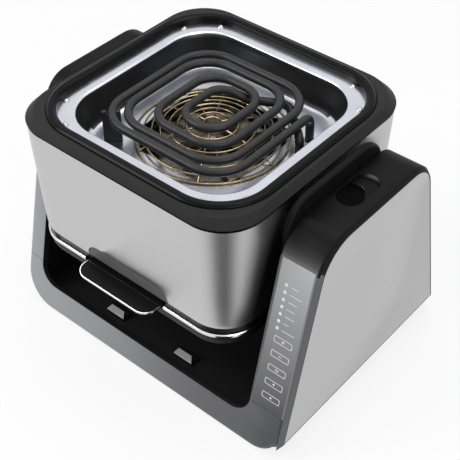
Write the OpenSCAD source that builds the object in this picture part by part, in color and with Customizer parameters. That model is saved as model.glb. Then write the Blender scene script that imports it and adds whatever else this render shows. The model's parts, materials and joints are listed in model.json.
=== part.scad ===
// Countertop grill and air fryer with a heater head that turns over on two trunnions.
// The head hangs between a side wall and a control tower, above a well for a pot.
// Millimetres, +Z up, the front faces -Y, and the origin is under the middle of the box.

/* [Base] */
// Width of the wall on the left
wall_w = 20; // [17:0.5:26]
// Width of the control tower on the right
tower_w = 42.5; // [42:0.5:52]
// Depth of the base along its lower edge
base_d = 277; // [270:1:300]
// Distance of the base's middle behind the flip axis
base_shift = 6; // [2:0.5:10]
// Height of the walls
wall_h = 236; // [230:1:246]
// Lean of the front and rear faces in degrees
lean = 13.5; // [10:0.1:15]
// Radius of the walls' upper front corners
crown_r = 40; // [30:1:46]
// Radius of the walls' upper rear corners
crown_rear = 33; // [26:1:44]
// Thickness of moulded shells
shell_t = 3; // [2.5:0.1:3.5]
// Width of the bevel round a wall's outer face
bevel_w = 3; // [2.5:0.5:4]
// Depth of that bevel on the front edge
bevel_front = 7; // [6:0.5:10]
// Depth of that bevel on the upper edge
bevel_top = 5; // [4:0.5:7]
// Depth of that bevel on the rear edge
bevel_rear = 1; // [0.5:0.5:4]
// Thickness of the outer side panels
panel_t = 1.2; // [0.8:0.1:1.6]
// Radius of the base's lower left edge
edge_r = 36; // [28:1:40]
// Height to which the tower's lower outer edge is drawn in
tuck_h = 15; // [12:0.5:18]
// Width by which that edge is drawn in
tuck_w = 16; // [14:0.5:18]
// Thickness of the base plate
plate_t = 3; // [2:0.5:4]
// Height of the rubber feet
foot_h = 3; // [2:0.5:6]
// Radius of a rubber foot
foot_r = 9; // [6:0.5:11]

/* [Well] */
// Height of the well floor over the base plate's underside
floor_h = 17; // [15:0.5:20]
// Thickness of the well floor
floor_t = 6; // [5:0.5:8]
// Width of the pot's seat in the floor
seat_w = 184; // [170:1:196]
// Corner radius of the seat
seat_r = 40; // [25:1:60]
// Depth of the seat
seat_depth = 2.5; // [1.5:0.5:4]
// Width of a pot stop
stop_w = 24; // [18:1:30]
// Depth of a pot stop
stop_d = 12; // [9:1:15]
// Height of a pot stop over the floor
stop_h = 5; // [3:0.5:8]
// Distance between the middles of the two pot stops
stop_pitch = 96; // [80:1:120]
// Distance of the stops' front from the flip axis
stop_reach = 106; // [105:0.5:110]

/* [Front] */
// Height of the bezel's lower bar
bar_h = 30; // [24:1:32]
// Thickness of the bezel
bezel_t = 6; // [5:0.5:7]
// Radius of the bezel's inner corners
bezel_r = 22; // [12:1:26]
// Radius of the bezel's lower right corner
corner_r = 30; // [24:1:34]
// Width of the bezel's strip beside the control panel
strip_w = 2.4; // [2:0.1:3]
// Distance up the front to the lower edge of the control panel
keys_v = 52; // [46:1:52]
// Length of the control panel up the front
keys_l = 159; // [140:1:159]
// Width of the control panel
keys_w = 35.5; // [32:0.5:36]
// Thickness of the control panel
keys_t = 1.5; // [1:0.1:2]

/* [Flip pivot] */
// Depth of the flip axis under the walls' top
pivot_drop = 38; // [36:0.5:42]
// Radius of a trunnion
pin_r = 9; // [7:0.5:10]
// Running clearance of a trunnion in its bush
run_gap = 0.05; // [0.02:0.01:0.1]
// Wall of a trunnion bush
bush_t = 3; // [2:0.5:4]
// Radius of a trunnion's flange inside the head
flange_r = 22; // [18:1:26]
// Thickness of the pivot housing on the tower
housing_t = 7.5; // [6:0.5:10]
// Length of a pivot housing
housing_l = 144; // [110:1:150]
// Height of a pivot housing
housing_h = 92; // [80:1:100]
// Corner radius of a pivot housing
housing_r = 30; // [20:1:40]
// Height of a pivot housing over the walls' top
housing_rise = 18; // [12:1:20]

/* [Flip lock] */
// Width of the slot in the tower's top
slot_w = 25; // [20:0.5:26]
// Length of that slot
slot_l = 50.5; // [48:0.5:56]
// Depth of that slot
slot_depth = 4; // [3:0.5:5]
// Distance of the slot's middle behind the flip axis
slot_shift = 8; // [6:0.5:12]
// Height of the knob over the tower's top
knob_rise = 6.5; // [4:0.5:8]
// Radius of the lock disc
disc_r = 18; // [16:0.5:18.5]
// Thickness of the lock disc
disc_t = 6; // [5:0.5:8]
// Depth of a notch in the lock disc
notch_depth = 6; // [4:0.5:6.5]
// Radius of the lock bolt's nose
nose_r = 3; // [2.5:0.25:3.5]
// Clearance of sliding and nesting pieces
fit_gap = 0.3; // [0.2:0.05:0.5]

/* [Head] */
// Width across the collar's lower edge
collar_w = 275; // [266:1:286]
// Gap between the collar and what it swings between
swing_gap = 3; // [2.6:0.1:5]
// Height of the collar's lower edge over the walls' top
collar_rise = 16; // [14:0.5:20]
// Height of the collar
collar_h = 10; // [8:0.5:10.5]
// Corner radius of the collar
head_r = 44.5; // [40:0.5:52]
// Height of the stainless band
band_h = 125; // [120:1:132]
// How far each side of the band draws in at its foot
band_taper = 6; // [4:0.5:7]
// Thickness of the band
band_t = 1.5; // [1:0.1:2]
// Gap in shadow between the band and the lower trim
shadow_h = 8; // [6:0.5:10]
// Height of the lower trim ring
trim_h = 4; // [3:0.5:5]
// Height of the bottom cover under the trim ring
cover_h = 14; // [12:0.5:18]
// Width of the finger recess in the band
recess_w = 106; // [96:1:112]
// Height of the finger recess
recess_h = 16; // [14:0.5:22]
// Corner radius of the finger recess
recess_r = 12; // [8:0.5:14]
// Width of the handle lip
lip_w = 98; // [88:1:104]
// How far the lip stands in front of the band's foot
lip_out = 23.5; // [18:0.5:26]
// Thickness of the handle lip
lip_t = 5; // [4:0.5:6]
// Corner radius of the handle lip
lip_r = 14; // [8:0.5:16]
// Thickness of the trim round the lip
lip_trim_t = 1.2; // [0.8:0.1:2]

/* [Heater] */
// Width inside the gasket
mouth_w = 236; // [230:1:240]
// Corner radius inside the gasket
mouth_r = 50; // [46:1:54]
// Width of the gasket ring
gasket_t = 10; // [8:0.5:10]
// Height of the gasket
gasket_h = 8.4; // [7.6:0.2:10]
// Width of the reflector pan inside its flange
pan_w = 208; // [204:1:212]
// Corner radius of the pan
pan_r = 44; // [40:1:50]
// Depth of the pan under its flange
pan_depth = 35; // [33:0.5:38]
// Sheet thickness of the pan
pan_t = 1.2; // [0.8:0.1:1.5]
// Diameter of the heating tube
tube_d = 7; // [6:0.1:8]
// Half width of the heating element's outer turn
coil_half = 79; // [76:0.5:80]
// Distance between its turns
coil_pitch = 18; // [16:0.5:19]
// Number of turns
coil_turns = 4; // [3:1:4]
// Bend radius of the outer turn
coil_bend = 30; // [26:0.5:32]
// How much tighter each next turn bends
coil_bend_step = 4.5; // [3:0.25:5]
// Bend radius of the element's legs
leg_bend = 10; // [8:0.5:11]
// Depth of the inner end's crossing under the turns
cross_drop = 9; // [8.6:0.2:10]
// Radius of the wire guard
guard_r = 76; // [70:1:77]
// Rise of the guard's dome
guard_rise = 14; // [10:0.5:15]
// Number of rings in the guard
guard_rings = 9; // [6:1:10]
// Number of spokes in the guard
guard_spokes = 6; // [4:1:8]
// Diameter of the guard's wire
wire_d = 2; // [1.6:0.1:2.4]

/* [Fan] */
// Radius of the fan
fan_r = 64; // [58:1:66]
// Height of the fan's blades
fan_h = 10; // [8:0.5:11]
// Number of blades
fan_blades = 8; // [6:1:12]
// Depth of the fan's well under the pan
fan_well_h = 22; // [20:0.5:26]
// Radius of the fan's shaft
shaft_r = 3; // [2.5:0.25:4]
// Radius of the motor
motor_r = 32; // [28:1:36]
// Height of the motor
motor_h = 38; // [34:1:42]
// Gap between the fan's well and the motor bracket
bracket_gap = 13; // [12:0.5:16]

/* [Hidden] */
$fn = 64;
blend_fn = 48;
skin = 0.02;
seat_gap = 0.1;
past = 1;
join = 0.01;

// Places across the part
well_w = collar_w + 2*swing_gap + housing_t;
overall_w = wall_w + well_w + tower_w;
left_out = -overall_w/2;
left_in = left_out + wall_w;
right_in = left_in + well_w;
right_out = overall_w/2;
head_x = left_in + swing_gap + collar_w/2;

// Places from front to back
band_top_w = collar_w - 2*0.8;
band_foot_w = band_top_w - 2*band_taper;
lip_reach = band_foot_w/2 + lip_out + lip_trim_t;
head_y = (lip_reach - base_d/2 - base_shift)/2;
base_y = head_y + base_shift;
front_y = base_y - base_d/2;
rear_y = base_y + base_d/2;

// Heights in the base
base_z = foot_h;
deck_z = base_z + plate_t;
floor_z = base_z + floor_h;
wall_top = base_z + wall_h;
pivot_z = wall_top - pivot_drop;
crown_run = crown_r/tan((90 + lean)/2);
front_run = wall_h/cos(lean);
post_l = front_run - crown_run;
bevel_left = bezel_t + 1;

// Heights in the head
collar_z = wall_top + collar_rise;
ledge_z = collar_z + 3;
pan_top = ledge_z + pan_t;
gasket_top = pan_top + gasket_h;
pan_floor = ledge_z - pan_depth;
pan_deck = pan_floor + pan_t;
band_foot = collar_z - band_h;
trim_top = band_foot - shadow_h;
step_z = trim_top - trim_h;
cover_z = step_z - cover_h;
coil_z = collar_z + 4;

// Half widths in the head
cover_half = band_foot_w/2 - 4.4;
cover_r = head_r - 7;
shield_half = mouth_w/2 - 4;
shield_t = 1.2;
shield_z = band_foot + 16;
post_at = band_foot_w/2 - 26;
post_r = 4;

// Flip lock in the tower
bush_r = pin_r + run_gap + bush_t;
slot_x = right_in + tower_w/2 - 4.5;
slot_y = head_y + slot_shift;
slide_end = 1;
lock_travel = slot_l - slot_w - 2*slide_end;
knob_r = slot_w/2 - fit_gap;
knob_y = slot_y - slot_l/2 + slot_w/2 + slide_end;
slot_floor = wall_top - slot_depth;
tray_z = slot_floor - shell_t;
bolt_top = tray_z - fit_gap;
bolt_t = 3;
stem_r = 3;
nose_y = head_y - disc_r - lock_travel + notch_depth - 1;

// Fan under the pan
guard_wire = wire_d/2;
well_r = guard_r - 2;
fan_hole_r = guard_r - 4;
fan_top = pan_floor - 3;
fan_z = fan_top - fan_h;
well_z = pan_floor - fan_well_h;
bracket_z = well_z - bracket_gap;
bracket_t = 2;
bracket_r = motor_r + 14;

// Rounded rectangle, centred
module rounded(w, d, r) {
  square([w - 2*r, d], center = true);
  square([w, d - 2*r], center = true);
  for (x = [-1, 1], y = [-1, 1]) translate([x*(w/2 - r), y*(d/2 - r)]) circle(r);
}

// Square slab with round corners, from z up by t
module slab(w, r, z, t) {
  translate([0, 0, z]) linear_extrude(t) rounded(w, w, r);
}

// Square solid that tapers between two slabs
module taper(w1, r1, z1, w2, r2, z2) {
  hull() {
    slab(w1, r1, z1, skin, $fn = blend_fn);
    slab(w2, r2, z2 - skin, skin, $fn = blend_fn);
  }
}

module at_head() {
  translate([head_x, head_y, 0]) children();
}

// Extrudes a y-z outline from x0 to x1
module along_x(x0, x1) {
  translate([x0, 0, 0]) rotate([90, 0, 90]) linear_extrude(x1 - x0) children();
}

// Local x along the part, y up the sloping front and z out of it
module on_front() {
  translate([0, front_y, base_z]) rotate([90 - lean, 0, 0]) children();
}

module on_rear() {
  translate([0, base_y, 0]) mirror([0, 1, 0]) translate([0, -base_y, 0]) on_front() children();
}

// Cylinder on the flip axis from x0 to x1
module axle(r, x0, x1) {
  translate([x0, head_y, pivot_z]) rotate([0, 90, 0]) cylinder(r = r, h = x1 - x0);
}

// Side form of a wall from x0 to x1, drawn in by the given depths
module side_form(x0, x1, front = 0, rear = 0, top = 0, foot = 0, r = crown_r, r2 = crown_rear) {
  z1 = wall_top - top;
  run = r/tan((90 + lean)/2);
  run2 = r2/tan((90 + lean)/2);
  y0 = front_y + front/cos(lean);
  y1 = base_y + base_d/2 - rear/cos(lean);
  yf = y0 + (z1 - base_z)*tan(lean);
  yr = y1 - (z1 - base_z)*tan(lean);
  along_x(x0, x1) polygon([
    [y0 + foot*tan(lean), base_z + foot], [yf - run*sin(lean), z1 - run*cos(lean)], [yf + run, z1],
    [yr - run2, z1], [yr + run2*sin(lean), z1 - run2*cos(lean)], [y1 - foot*tan(lean), base_z + foot]
  ]);
  along_x(x0, x1) translate([yf + run, z1 - r]) circle(r + join);
  along_x(x0, x1) translate([yr - run2, z1 - r2]) circle(r2 + join);
}

// Outline of a pivot housing
module housing_outline(grow = 0) {
  translate([head_y, wall_top + housing_rise - housing_h/2])
    rounded(housing_l + 2*grow, housing_h + 2*grow, housing_r + grow);
}

// The base's round lower left edge, as a solid that the base stays within
module within_edge() {
  far = 2*base_d;
  intersection() {
    children();
    translate([0, far/2, 0]) rotate([90, 0, 0]) linear_extrude(far) {
      translate([left_out, base_z + edge_r]) square([overall_w, wall_h + collar_rise]);
      translate([left_out + edge_r, base_z]) square([overall_w - edge_r, wall_h]);
      translate([left_out + edge_r, base_z + edge_r]) circle(edge_r);
    }
  }
}

// Wall with a bevelled outer face, from its inner face at x0 to its outer face at x1
module bevelled_wall(x0, x1, front) {
  low = min(x0, x1);
  high = max(x0, x1);
  outer = x1 > x0 ? [high - skin, high] : [low, low + skin];
  full = x1 > x0 ? [low, high - bevel_w] : [low + bevel_w, high];
  hull($fn = blend_fn) {
    side_form(full[0], full[1], foot = plate_t, $fn = blend_fn);
    side_form(outer[0], outer[1], front, bevel_rear, bevel_top, plate_t, $fn = blend_fn);
  }
}

// The tower's outer form: bevelled like the wall, and drawn in along its lower outer edge
module tower_form() {
  mid = plate_t + (tuck_h - plate_t)*(tuck_w - bevel_w)/tuck_w;
  hull($fn = blend_fn) {
    side_form(right_in, right_out - tuck_w, foot = plate_t, $fn = blend_fn);
    side_form(right_in, right_out - bevel_w, foot = mid, $fn = blend_fn);
    side_form(right_out - skin, right_out, bevel_front, bevel_rear, bevel_top, tuck_h, $fn = blend_fn);
  }
}

// What stays solid over the drawn-in edge, t high
module tuck_wall(t) {
  rise = (tuck_h - plate_t)/tuck_w;
  near = right_out - tuck_w - (plate_t + t + past)/rise;
  translate([0, base_d, 0]) rotate([90, 0, 0]) linear_extrude(2*base_d) polygon([
    [near, base_z - past], [right_out + past, base_z - past],
    [right_out + past, base_z - past + rise*(right_out + past - near)]
  ]);
}

// Side panel inside the bevel
module panel_form(x0, x1, front, foot, grow = 0) {
  edge = 1.5 - grow;
  side_form(x0, x1, front + edge, bevel_rear + edge, bevel_top + edge, foot + edge,
    r2 = crown_rear - bevel_top - edge);
}

module base_plate() {
  color("#1b1b1d") difference() {
    within_edge() intersection() {
      side_form(left_out, right_out);
      translate([0, 0, base_z]) linear_extrude(plate_t) polygon([
        [left_out, front_y], [right_out - bevel_w - corner_r, front_y],
        [right_out - tuck_w, front_y + 2*bezel_t], [right_out - tuck_w, rear_y],
        [left_out + bevel_w, rear_y], [left_out, rear_y - bevel_top/cos(lean)]
      ]);
    }
    at_screws() {
      translate([0, 0, base_z - past]) cylinder(r = 1.8, h = plate_t + 2*past);
      translate([0, 0, base_z - past]) cylinder(r = 3.4, h = past + 1.4);
    }
  }
}

// Screw places under the well floor
module at_screws() {
  for (x = [left_in + 24, right_in - 24], y = [-1, 1])
    translate([x, base_y + y*(base_d/2 - 36), 0]) children();
}

module base_screws() {
  color("#8d8f92") at_screws() {
    translate([0, 0, base_z + 0.2]) cylinder(r = 3.1, h = 1.2);
    translate([0, 0, base_z + 0.2]) cylinder(r = 1.4, h = floor_h - floor_t);
  }
}

module feet() {
  color("#141414") for (x = [left_out + edge_r + foot_r, right_out - tuck_w - foot_r - 1], y = [-1, 1])
    translate([x, base_y + y*(base_d/2 - 2*foot_r), 0]) cylinder(r = foot_r, h = foot_h);
}

module well_tray() {
  color("#1d1d1f") difference() {
    union() {
      intersection() {
        side_form(left_in + seat_gap, right_in - seat_gap, bezel_t + seat_gap, bezel_t + seat_gap, 0);
        translate([left_in, -base_d, floor_z - floor_t]) cube([well_w, 2*base_d, floor_t]);
      }
      at_screws() translate([0, 0, deck_z]) cylinder(r = 5, h = floor_h - floor_t - plate_t + past);
    }
    at_head() slab(seat_w, seat_r, floor_z - seat_depth, floor_t);
    at_screws() translate([0, 0, base_z]) cylinder(r = 1.5, h = floor_h - floor_t + past);
  }
}

module at_stops() {
  at_head() for (x = [-1, 1]) translate([x*stop_pitch/2, -stop_reach, floor_z]) children();
}

cap_t = 1.5;
cap_d = 8;

module pot_stops() {
  color("#202022") at_stops() difference() {
    translate([-stop_w/2, 0, 0]) cube([stop_w, stop_d, stop_h]);
    translate([-stop_w, -past, stop_h - cap_t]) cube([2*stop_w, cap_d + past, stop_h]);
  }
}

module stop_caps() {
  color("#9a9c9f") at_stops() translate([-stop_w/2, 0, stop_h - cap_t])
    cube([stop_w, cap_d - seat_gap, cap_t]);
}

// Cuts a piece off level with the base plate's upper face
module on_deck() {
  difference() {
    children();
    translate([left_out - past, -base_d, -past]) cube([overall_w + 2*past, 2*base_d, deck_z + past]);
  }
}

// Bezel in front of the walls: a left post, a lower bar and a short right post
module front_bezel() {
  inner_w = well_w;
  keys_edge = right_in + (tower_w - bevel_w);
  color("#a9acb0") on_deck() within_edge() on_front() translate([0, 0, -bezel_t]) linear_extrude(bezel_t) {
    difference() {
      union() {
        translate([left_out, 0]) square([wall_w, post_l]);
        translate([left_out, 0]) square([keys_edge - left_out, bar_h + bezel_r]);
        translate([right_in, 0]) square([keys_edge - right_in, keys_v - seat_gap]);
        translate([right_in, 0]) square([strip_w, keys_v + keys_l]);
      }
      difference() {
        translate([keys_edge - corner_r, -past]) square([corner_r + past, corner_r + past]);
        translate([keys_edge - corner_r, corner_r]) circle(corner_r);
      }
      translate([left_in, bar_h + bezel_r]) square([inner_w, front_run]);
      translate([left_in + bezel_r, bar_h]) square([inner_w - 2*bezel_r, front_run]);
      for (x = [left_in + bezel_r, right_in - bezel_r]) translate([x, bar_h + bezel_r]) circle(bezel_r);
    }
  }
}

module rear_sill() {
  color("#1d1d1f") on_deck() on_rear() translate([0, 0, -bezel_t]) linear_extrude(bezel_t)
    translate([left_in + seat_gap, 0]) square([well_w - 2*seat_gap, bar_h]);
}

// Room for the bezel's post in front of a wall
module post_room(x0, x1, l) {
  on_front() translate([x0, -past, -bezel_t - seat_gap]) cube([x1 - x0, l + past + seat_gap, bezel_t + past]);
}

module left_wall() {
  color("#232325") difference() {
    within_edge() union() {
      bevelled_wall(left_in, left_out, bevel_left);
      along_x(left_out + panel_t, left_in) housing_outline();
    }
    side_form(left_out - past, left_in - shell_t, bevel_left + shell_t + 2, bevel_top + shell_t + 2,
      bevel_top + shell_t + 2, edge_r);
    panel_form(left_out - past, left_out + panel_t + seat_gap, bevel_left, plate_t, seat_gap);
    post_room(left_out - past, left_in + past, post_l);
    axle(bush_r + skin, left_out - past, left_in + past);
  }
  color("#232325") difference() {
    axle(bush_r + shell_t, left_out + panel_t + seat_gap, left_in - shell_t);
    axle(bush_r + skin, left_out, left_in + past);
  }
}

module left_panel() {
  color("#b9bbbd") intersection() {
    panel_form(left_out, left_out + panel_t, bevel_left, plate_t);
    translate([left_out - past, -base_d, base_z + edge_r]) cube([wall_w, 2*base_d, wall_h]);
  }
}

module left_bush() {
  color("#c8b27a") difference() {
    axle(bush_r, left_out + panel_t + seat_gap, left_in);
    axle(pin_r + run_gap, left_out, left_in + past);
  }
}

// Posts on the inside of the tower that carry the two boards
board_t = 1.6;
keys_x = right_in + strip_w + seat_gap + keys_w/2;
keys_board_w = 24;
keys_board_l = keys_l - 27;
keys_board_v = keys_v + 8;
keys_post = 5;
power_post = 6;
power_w = 130;
power_h = 100;
power_z = base_z + 50;
coil_block = 14;
relay_h = 12;
power_x = right_in + shell_t + power_post;

module keys_posts(r, z, t) {
  on_front() for (x = [-1, 1], v = [8, keys_board_l - 8])
    translate([keys_x + x*(keys_board_w/2 - 4), keys_board_v + v, z]) cylinder(r = r, h = t);
}

module power_posts(r, x, t) {
  for (y = [-1, 1], z = [8, power_h - 8])
    translate([x, base_y + y*(power_w/2 - 8), power_z + z]) rotate([0, 90, 0]) cylinder(r = r, h = t);
}

// Round-ended slot along y, centred
module stadium(w, l) {
  square([w, l - w], center = true);
  for (y = [-1, 1]) translate([0, y*(l - w)/2]) circle(w/2);
}

module tower_shell() {
  open_x = right_out - bevel_w;
  color("#242426") difference() {
    union() {
      difference() {
        tower_form();
        difference() {
          side_form(right_in + shell_t, open_x, bezel_t + shell_t, shell_t, shell_t, -past,
            crown_r - shell_t, crown_rear - shell_t);
          tuck_wall(shell_t + 1);
        }
        side_form(open_x - past, right_out + past, bevel_front + 3, bevel_top + 3, bevel_top + 3,
          tuck_h + 5);
      }
      translate([slot_x, slot_y, tray_z]) linear_extrude(wall_top - tray_z)
        stadium(slot_w + 2*shell_t, slot_l + 2*shell_t);
      keys_posts(2.5, -bezel_t - shell_t - keys_post, keys_post + 1);
      power_posts(3, right_in + shell_t - 1, power_post + 1);
      axle(bush_r + shell_t, right_in + 1, right_in + shell_t + 4);
    }
    panel_form(right_out - panel_t - seat_gap, right_out + past, bevel_front, tuck_h - 0.5, seat_gap);
    post_room(right_in - past, right_in + strip_w + seat_gap, keys_v + keys_l);
    post_room(right_in - past, right_in + tower_w - bevel_w + seat_gap, keys_v - seat_gap);
    on_front() translate([keys_x - keys_w/2 - seat_gap, keys_v - seat_gap, -keys_t])
      cube([keys_w + 2*seat_gap, keys_l + 2*seat_gap, keys_t + past]);
    translate([slot_x, slot_y, slot_floor]) linear_extrude(slot_depth + past) stadium(slot_w, slot_l);
    translate([slot_x, slot_y, tray_z - past]) linear_extrude(slot_depth + shell_t + past)
      stadium(2*(stem_r + fit_gap), lock_travel + 2*(stem_r + fit_gap));
    axle(bush_r + skin, right_in - past, right_in + shell_t + 4 + past);
    gland_place() translate([0, 0, -shell_t - past]) cylinder(r = gland_r + skin, h = shell_t + 3*past);
  }
}

module side_panel() {
  color("#c3c5c8") panel_form(right_out - panel_t, right_out, bevel_front, tuck_h - 0.5);
}

module control_panel() {
  color("#9fa1a3") on_front() translate([keys_x, keys_v + keys_l/2, -keys_t]) linear_extrude(keys_t)
    rounded(keys_w, keys_l, 1.5);
}

module control_board() {
  board_z = -bezel_t - shell_t - keys_post - board_t;
  color("#1f5a36") on_front() translate([keys_x, keys_board_v + keys_board_l/2, board_z]) {
    linear_extrude(board_t) square([keys_board_w, keys_board_l], center = true);
    translate([-5, -20, -3]) cube([10, 14, 3.5]);
    translate([-8, 30, -6]) cube([16, 8, 6.5]);
  }
}

module power_board() {
  color("#27603c") translate([power_x, base_y, power_z]) {
    translate([0, -power_w/2, 0]) cube([board_t, power_w, power_h]);
    translate([board_t - 0.5, -0.37*power_w, power_h/5]) cube([coil_block, power_w/5, 0.3*power_h]);
    for (y = [-power_w/13, power_w/9]) translate([board_t - 0.5, y, 0.6*power_h])
      cube([relay_h, power_w/8, power_h/5]);
    for (y = [power_w/9, power_w/4]) translate([board_t - 0.5, y, 0.3*power_h]) rotate([0, 90, 0])
      cylinder(r = power_h/15, h = relay_h + 1);
  }
}

// Bush in the tower's rear face where a mains lead comes in
gland_r = 7;
gland_bore = 3.8;

module gland_place() {
  on_rear() translate([right_in + tower_w/2 - 2, 34, 0]) children();
}

module cord_gland() {
  color("#151515") gland_place() difference() {
    union() {
      translate([0, 0, -shell_t - 2]) cylinder(r = gland_r, h = shell_t + 2);
      translate([0, 0, seat_gap/2]) cylinder(r = gland_r + 2.5, h = 2.5);
      translate([0, 0, -past]) cylinder(r = gland_r, h = 2*past);
    }
    translate([0, 0, -3*shell_t]) cylinder(r = gland_bore, h = 6*shell_t);
  }
}

module right_housing() {
  color("#262628") difference() {
    along_x(right_in - housing_t, right_in - seat_gap/2) housing_outline();
    axle(bush_r + skin, right_in - housing_t - past, right_in + past);
  }
}

module right_bush() {
  color("#c8b27a") difference() {
    axle(bush_r, right_in - housing_t, right_in + shell_t + 4);
    axle(pin_r + run_gap, right_in - housing_t - past, right_in + shell_t + 4 + past);
  }
}

module lock_knob() {
  scoop_r = 0.73*knob_r;
  low = slot_depth - fit_gap - 0.7;
  color("#1a1a1c") translate([slot_x, knob_y, slot_floor + fit_gap]) difference() {
    union() {
      cylinder(r = knob_r, h = slot_depth - fit_gap + knob_rise);
      translate([0, 0, -shell_t]) cylinder(r = stem_r, h = shell_t + past);
    }
    translate([0, 0, low + scoop_r - 0.2]) rotate([0, 90, 0])
      cylinder(r = scoop_r, h = 3*knob_r, center = true);
    translate([-1.5*knob_r, -2*knob_r, low]) cube([3*knob_r, 2*knob_r, slot_depth + knob_rise]);
  }
}

module lock_bolt() {
  leg_y = nose_y - 7;
  leg_d = 6;
  bolt_w = 11;
  plate_y1 = knob_y + 7;
  color("#8b8e92") {
    translate([slot_x - bolt_w/2, leg_y - leg_d, bolt_top - bolt_t])
      cube([bolt_w, plate_y1 - leg_y + leg_d, bolt_t]);
    translate([slot_x - bolt_w/2, leg_y - leg_d, pivot_z - nose_r])
      cube([bolt_w, leg_d, bolt_top - bolt_t/2 - pivot_z + nose_r]);
    translate([slot_x, leg_y - past, pivot_z]) rotate([-90, 0, 0])
      cylinder(r = nose_r, h = nose_y - leg_y + past);
  }
}

// Opening in the band for the finger recess, with its lower half below the band's foot
module recess_shape(grow, y0, y1) {
  translate([0, y1, band_foot]) rotate([90, 0, 0]) linear_extrude(y1 - y0)
    rounded(recess_w + 2*grow, 2*(recess_h + grow), recess_r + grow);
}

module band() {
  top_r = head_r - 0.8;
  foot_r2 = head_r - 6;
  color("#c9cbcd") difference() {
    at_head() difference() {
      taper(band_foot_w, foot_r2, band_foot, band_top_w, top_r, collar_z);
      taper(band_foot_w - 2*band_t, foot_r2 - band_t, band_foot + band_t, band_top_w - 2*band_t,
        top_r - band_t, collar_z + skin);
      slab(2*(cover_half + fit_gap), cover_r + fit_gap, band_foot - past, 3*past + band_t);
      recess_shape(0, -band_foot_w/2 - 2*band_taper, -cover_half + past);
    }
    axle(pin_r + 1, head_x - collar_w, head_x + collar_w);
  }
}

module finger_recess() {
  color("#6d6e70") at_head() intersection() {
    recess_shape(-0.2, -cover_half - 2.3, -cover_half - seat_gap);
    translate([-recess_w, -band_foot_w, band_foot]) cube([2*recess_w, band_foot_w, recess_h]);
  }
}

module collar() {
  rim_w = mouth_w + 2*gasket_t + 2*fit_gap;
  rim_r = mouth_r + gasket_t + fit_gap;
  color("#2b2b2d") at_head() difference() {
    union() {
      slab(collar_w, head_r, collar_z, 1.5);
      taper(collar_w, head_r, collar_z + 1.5 - skin, rim_w + 6, head_r, collar_z + collar_h);
    }
    slab(rim_w, rim_r, ledge_z, collar_h);
    slab(2*(shield_half - shield_t - 1), mouth_r - 4, collar_z - past, collar_h);
  }
}

module gasket() {
  lip = 1.5;
  color("#0f0f10") at_head() difference() {
    union() {
      slab(mouth_w + 2*gasket_t, mouth_r + gasket_t, pan_top, gasket_h - lip);
      slab(mouth_w + 2*gasket_t - 2*lip, mouth_r + gasket_t - lip, pan_top, gasket_h);
    }
    slab(mouth_w, mouth_r, pan_top - past, gasket_h + 2*past);
  }
}

// Bowl of the pan, grown outwards by t
module bowl(t) {
  w = pan_w + 2*t;
  r = pan_r + t;
  hull() {
    slab(w - 20, r - 4, pan_deck - t, skin, $fn = blend_fn);
    slab(w - 12, r - 2, pan_deck + 3 - t, skin, $fn = blend_fn);
    slab(w - 6, r, pan_deck + 10 - t, skin, $fn = blend_fn);
    slab(w, r, pan_top, skin, $fn = blend_fn);
  }
}

module at_legs() {
  translate([coil_half, leg_y + leg_bend, 0]) children();
  translate([leg_x, coil_in, 0]) children();
}

module reflector_pan() {
  flange_w = mouth_w + 2*gasket_t - 1;
  color("#d9dce0") at_head() difference() {
    union() {
      slab(flange_w, mouth_r + gasket_t - 0.5, ledge_z, pan_t);
      intersection() {
        bowl(pan_t);
        translate([-collar_w, -collar_w, 0]) cube([2*collar_w, 2*collar_w, pan_top]);
      }
    }
    bowl(0);
    translate([0, 0, pan_floor - past]) cylinder(r = fan_hole_r, h = pan_t + 2*past);
    at_legs() translate([0, 0, pan_floor - past]) cylinder(r = sleeve_r + skin, h = pan_t + 2*past);
  }
}

module pan_clips() {
  clip_r = 3;
  along = pan_w/2 - 20;
  across = (pan_w + mouth_w)/4;
  color("#b4b7ba") at_head() for (a = [0:90:270], s = [-1, 1])
    rotate(a) translate([s*along, across, pan_top]) {
      cylinder(r = clip_r, h = 1);
      translate([0, 0, 0.5]) cylinder(r1 = clip_r - 0.8, r2 = clip_r - 1.4, h = 1.5);
    }
}

// Heating element: a square spiral, whose ends go down through the pan
tube_r = tube_d/2;
leg_y = 40;
leg_x = pan_w/2 - 18;
coil_in = coil_half - (coil_turns - 1)*coil_pitch;
cross_r = 10;
cross_a = 45;
cross_l = (cross_drop - 2*cross_r*(1 - cos(cross_a)))/sin(cross_a);
cross_run = 2*cross_r*sin(cross_a) + cross_l*cos(cross_a);
cross_z = coil_z - cross_drop;
cross_x = -coil_in + coil_bend - 2;
sleeve_r = tube_r + 2;
leg_foot = pan_floor - 8;

function turn_half(k) = coil_half - k*coil_pitch;
function turn_bend(k) = coil_bend - k*coil_bend_step;
// Corners in the order in which the tube runs, each with its bend radius
coil_corners = [for (k = [0:coil_turns - 1], c = [0:3])
  let (h = turn_half(k), next = turn_half(k + 1))
  if (c < 3 || k < coil_turns - 1)
    [c == 0 ? h : c == 3 ? next : -h, c < 2 ? -h : h, turn_bend(k)]];
coil_path = concat([[coil_half, leg_y, 0]], coil_corners, [[cross_x, coil_in, 0]]);

function flat(p) = [p[0], p[1]];
function step(i) = flat(coil_path[i + 1]) - flat(coil_path[i]);
function way(i) = step(i)/norm(step(i));
function angle_of(d) = atan2(d[1], d[0]);

// Points along each straight of the spiral, to measure its least gap to itself
coil_points = [for (i = [0:len(coil_path) - 2], s = [0:0.1:1])
  [i, flat(coil_path[i])*(1 - s) + flat(coil_path[i + 1])*s]];
least_gap = min([for (a = coil_points, b = coil_points) if (b[0] > a[0] + 2) norm(a[1] - b[1])]) - tube_d;
echo(least_gap_of_the_element = min(least_gap, cross_drop - tube_d));

// A straight runs a little way into the bends at its ends
module tube(l) {
  translate([0, 0, -10*join]) cylinder(r = tube_r, h = l + 20*join);
}

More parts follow.
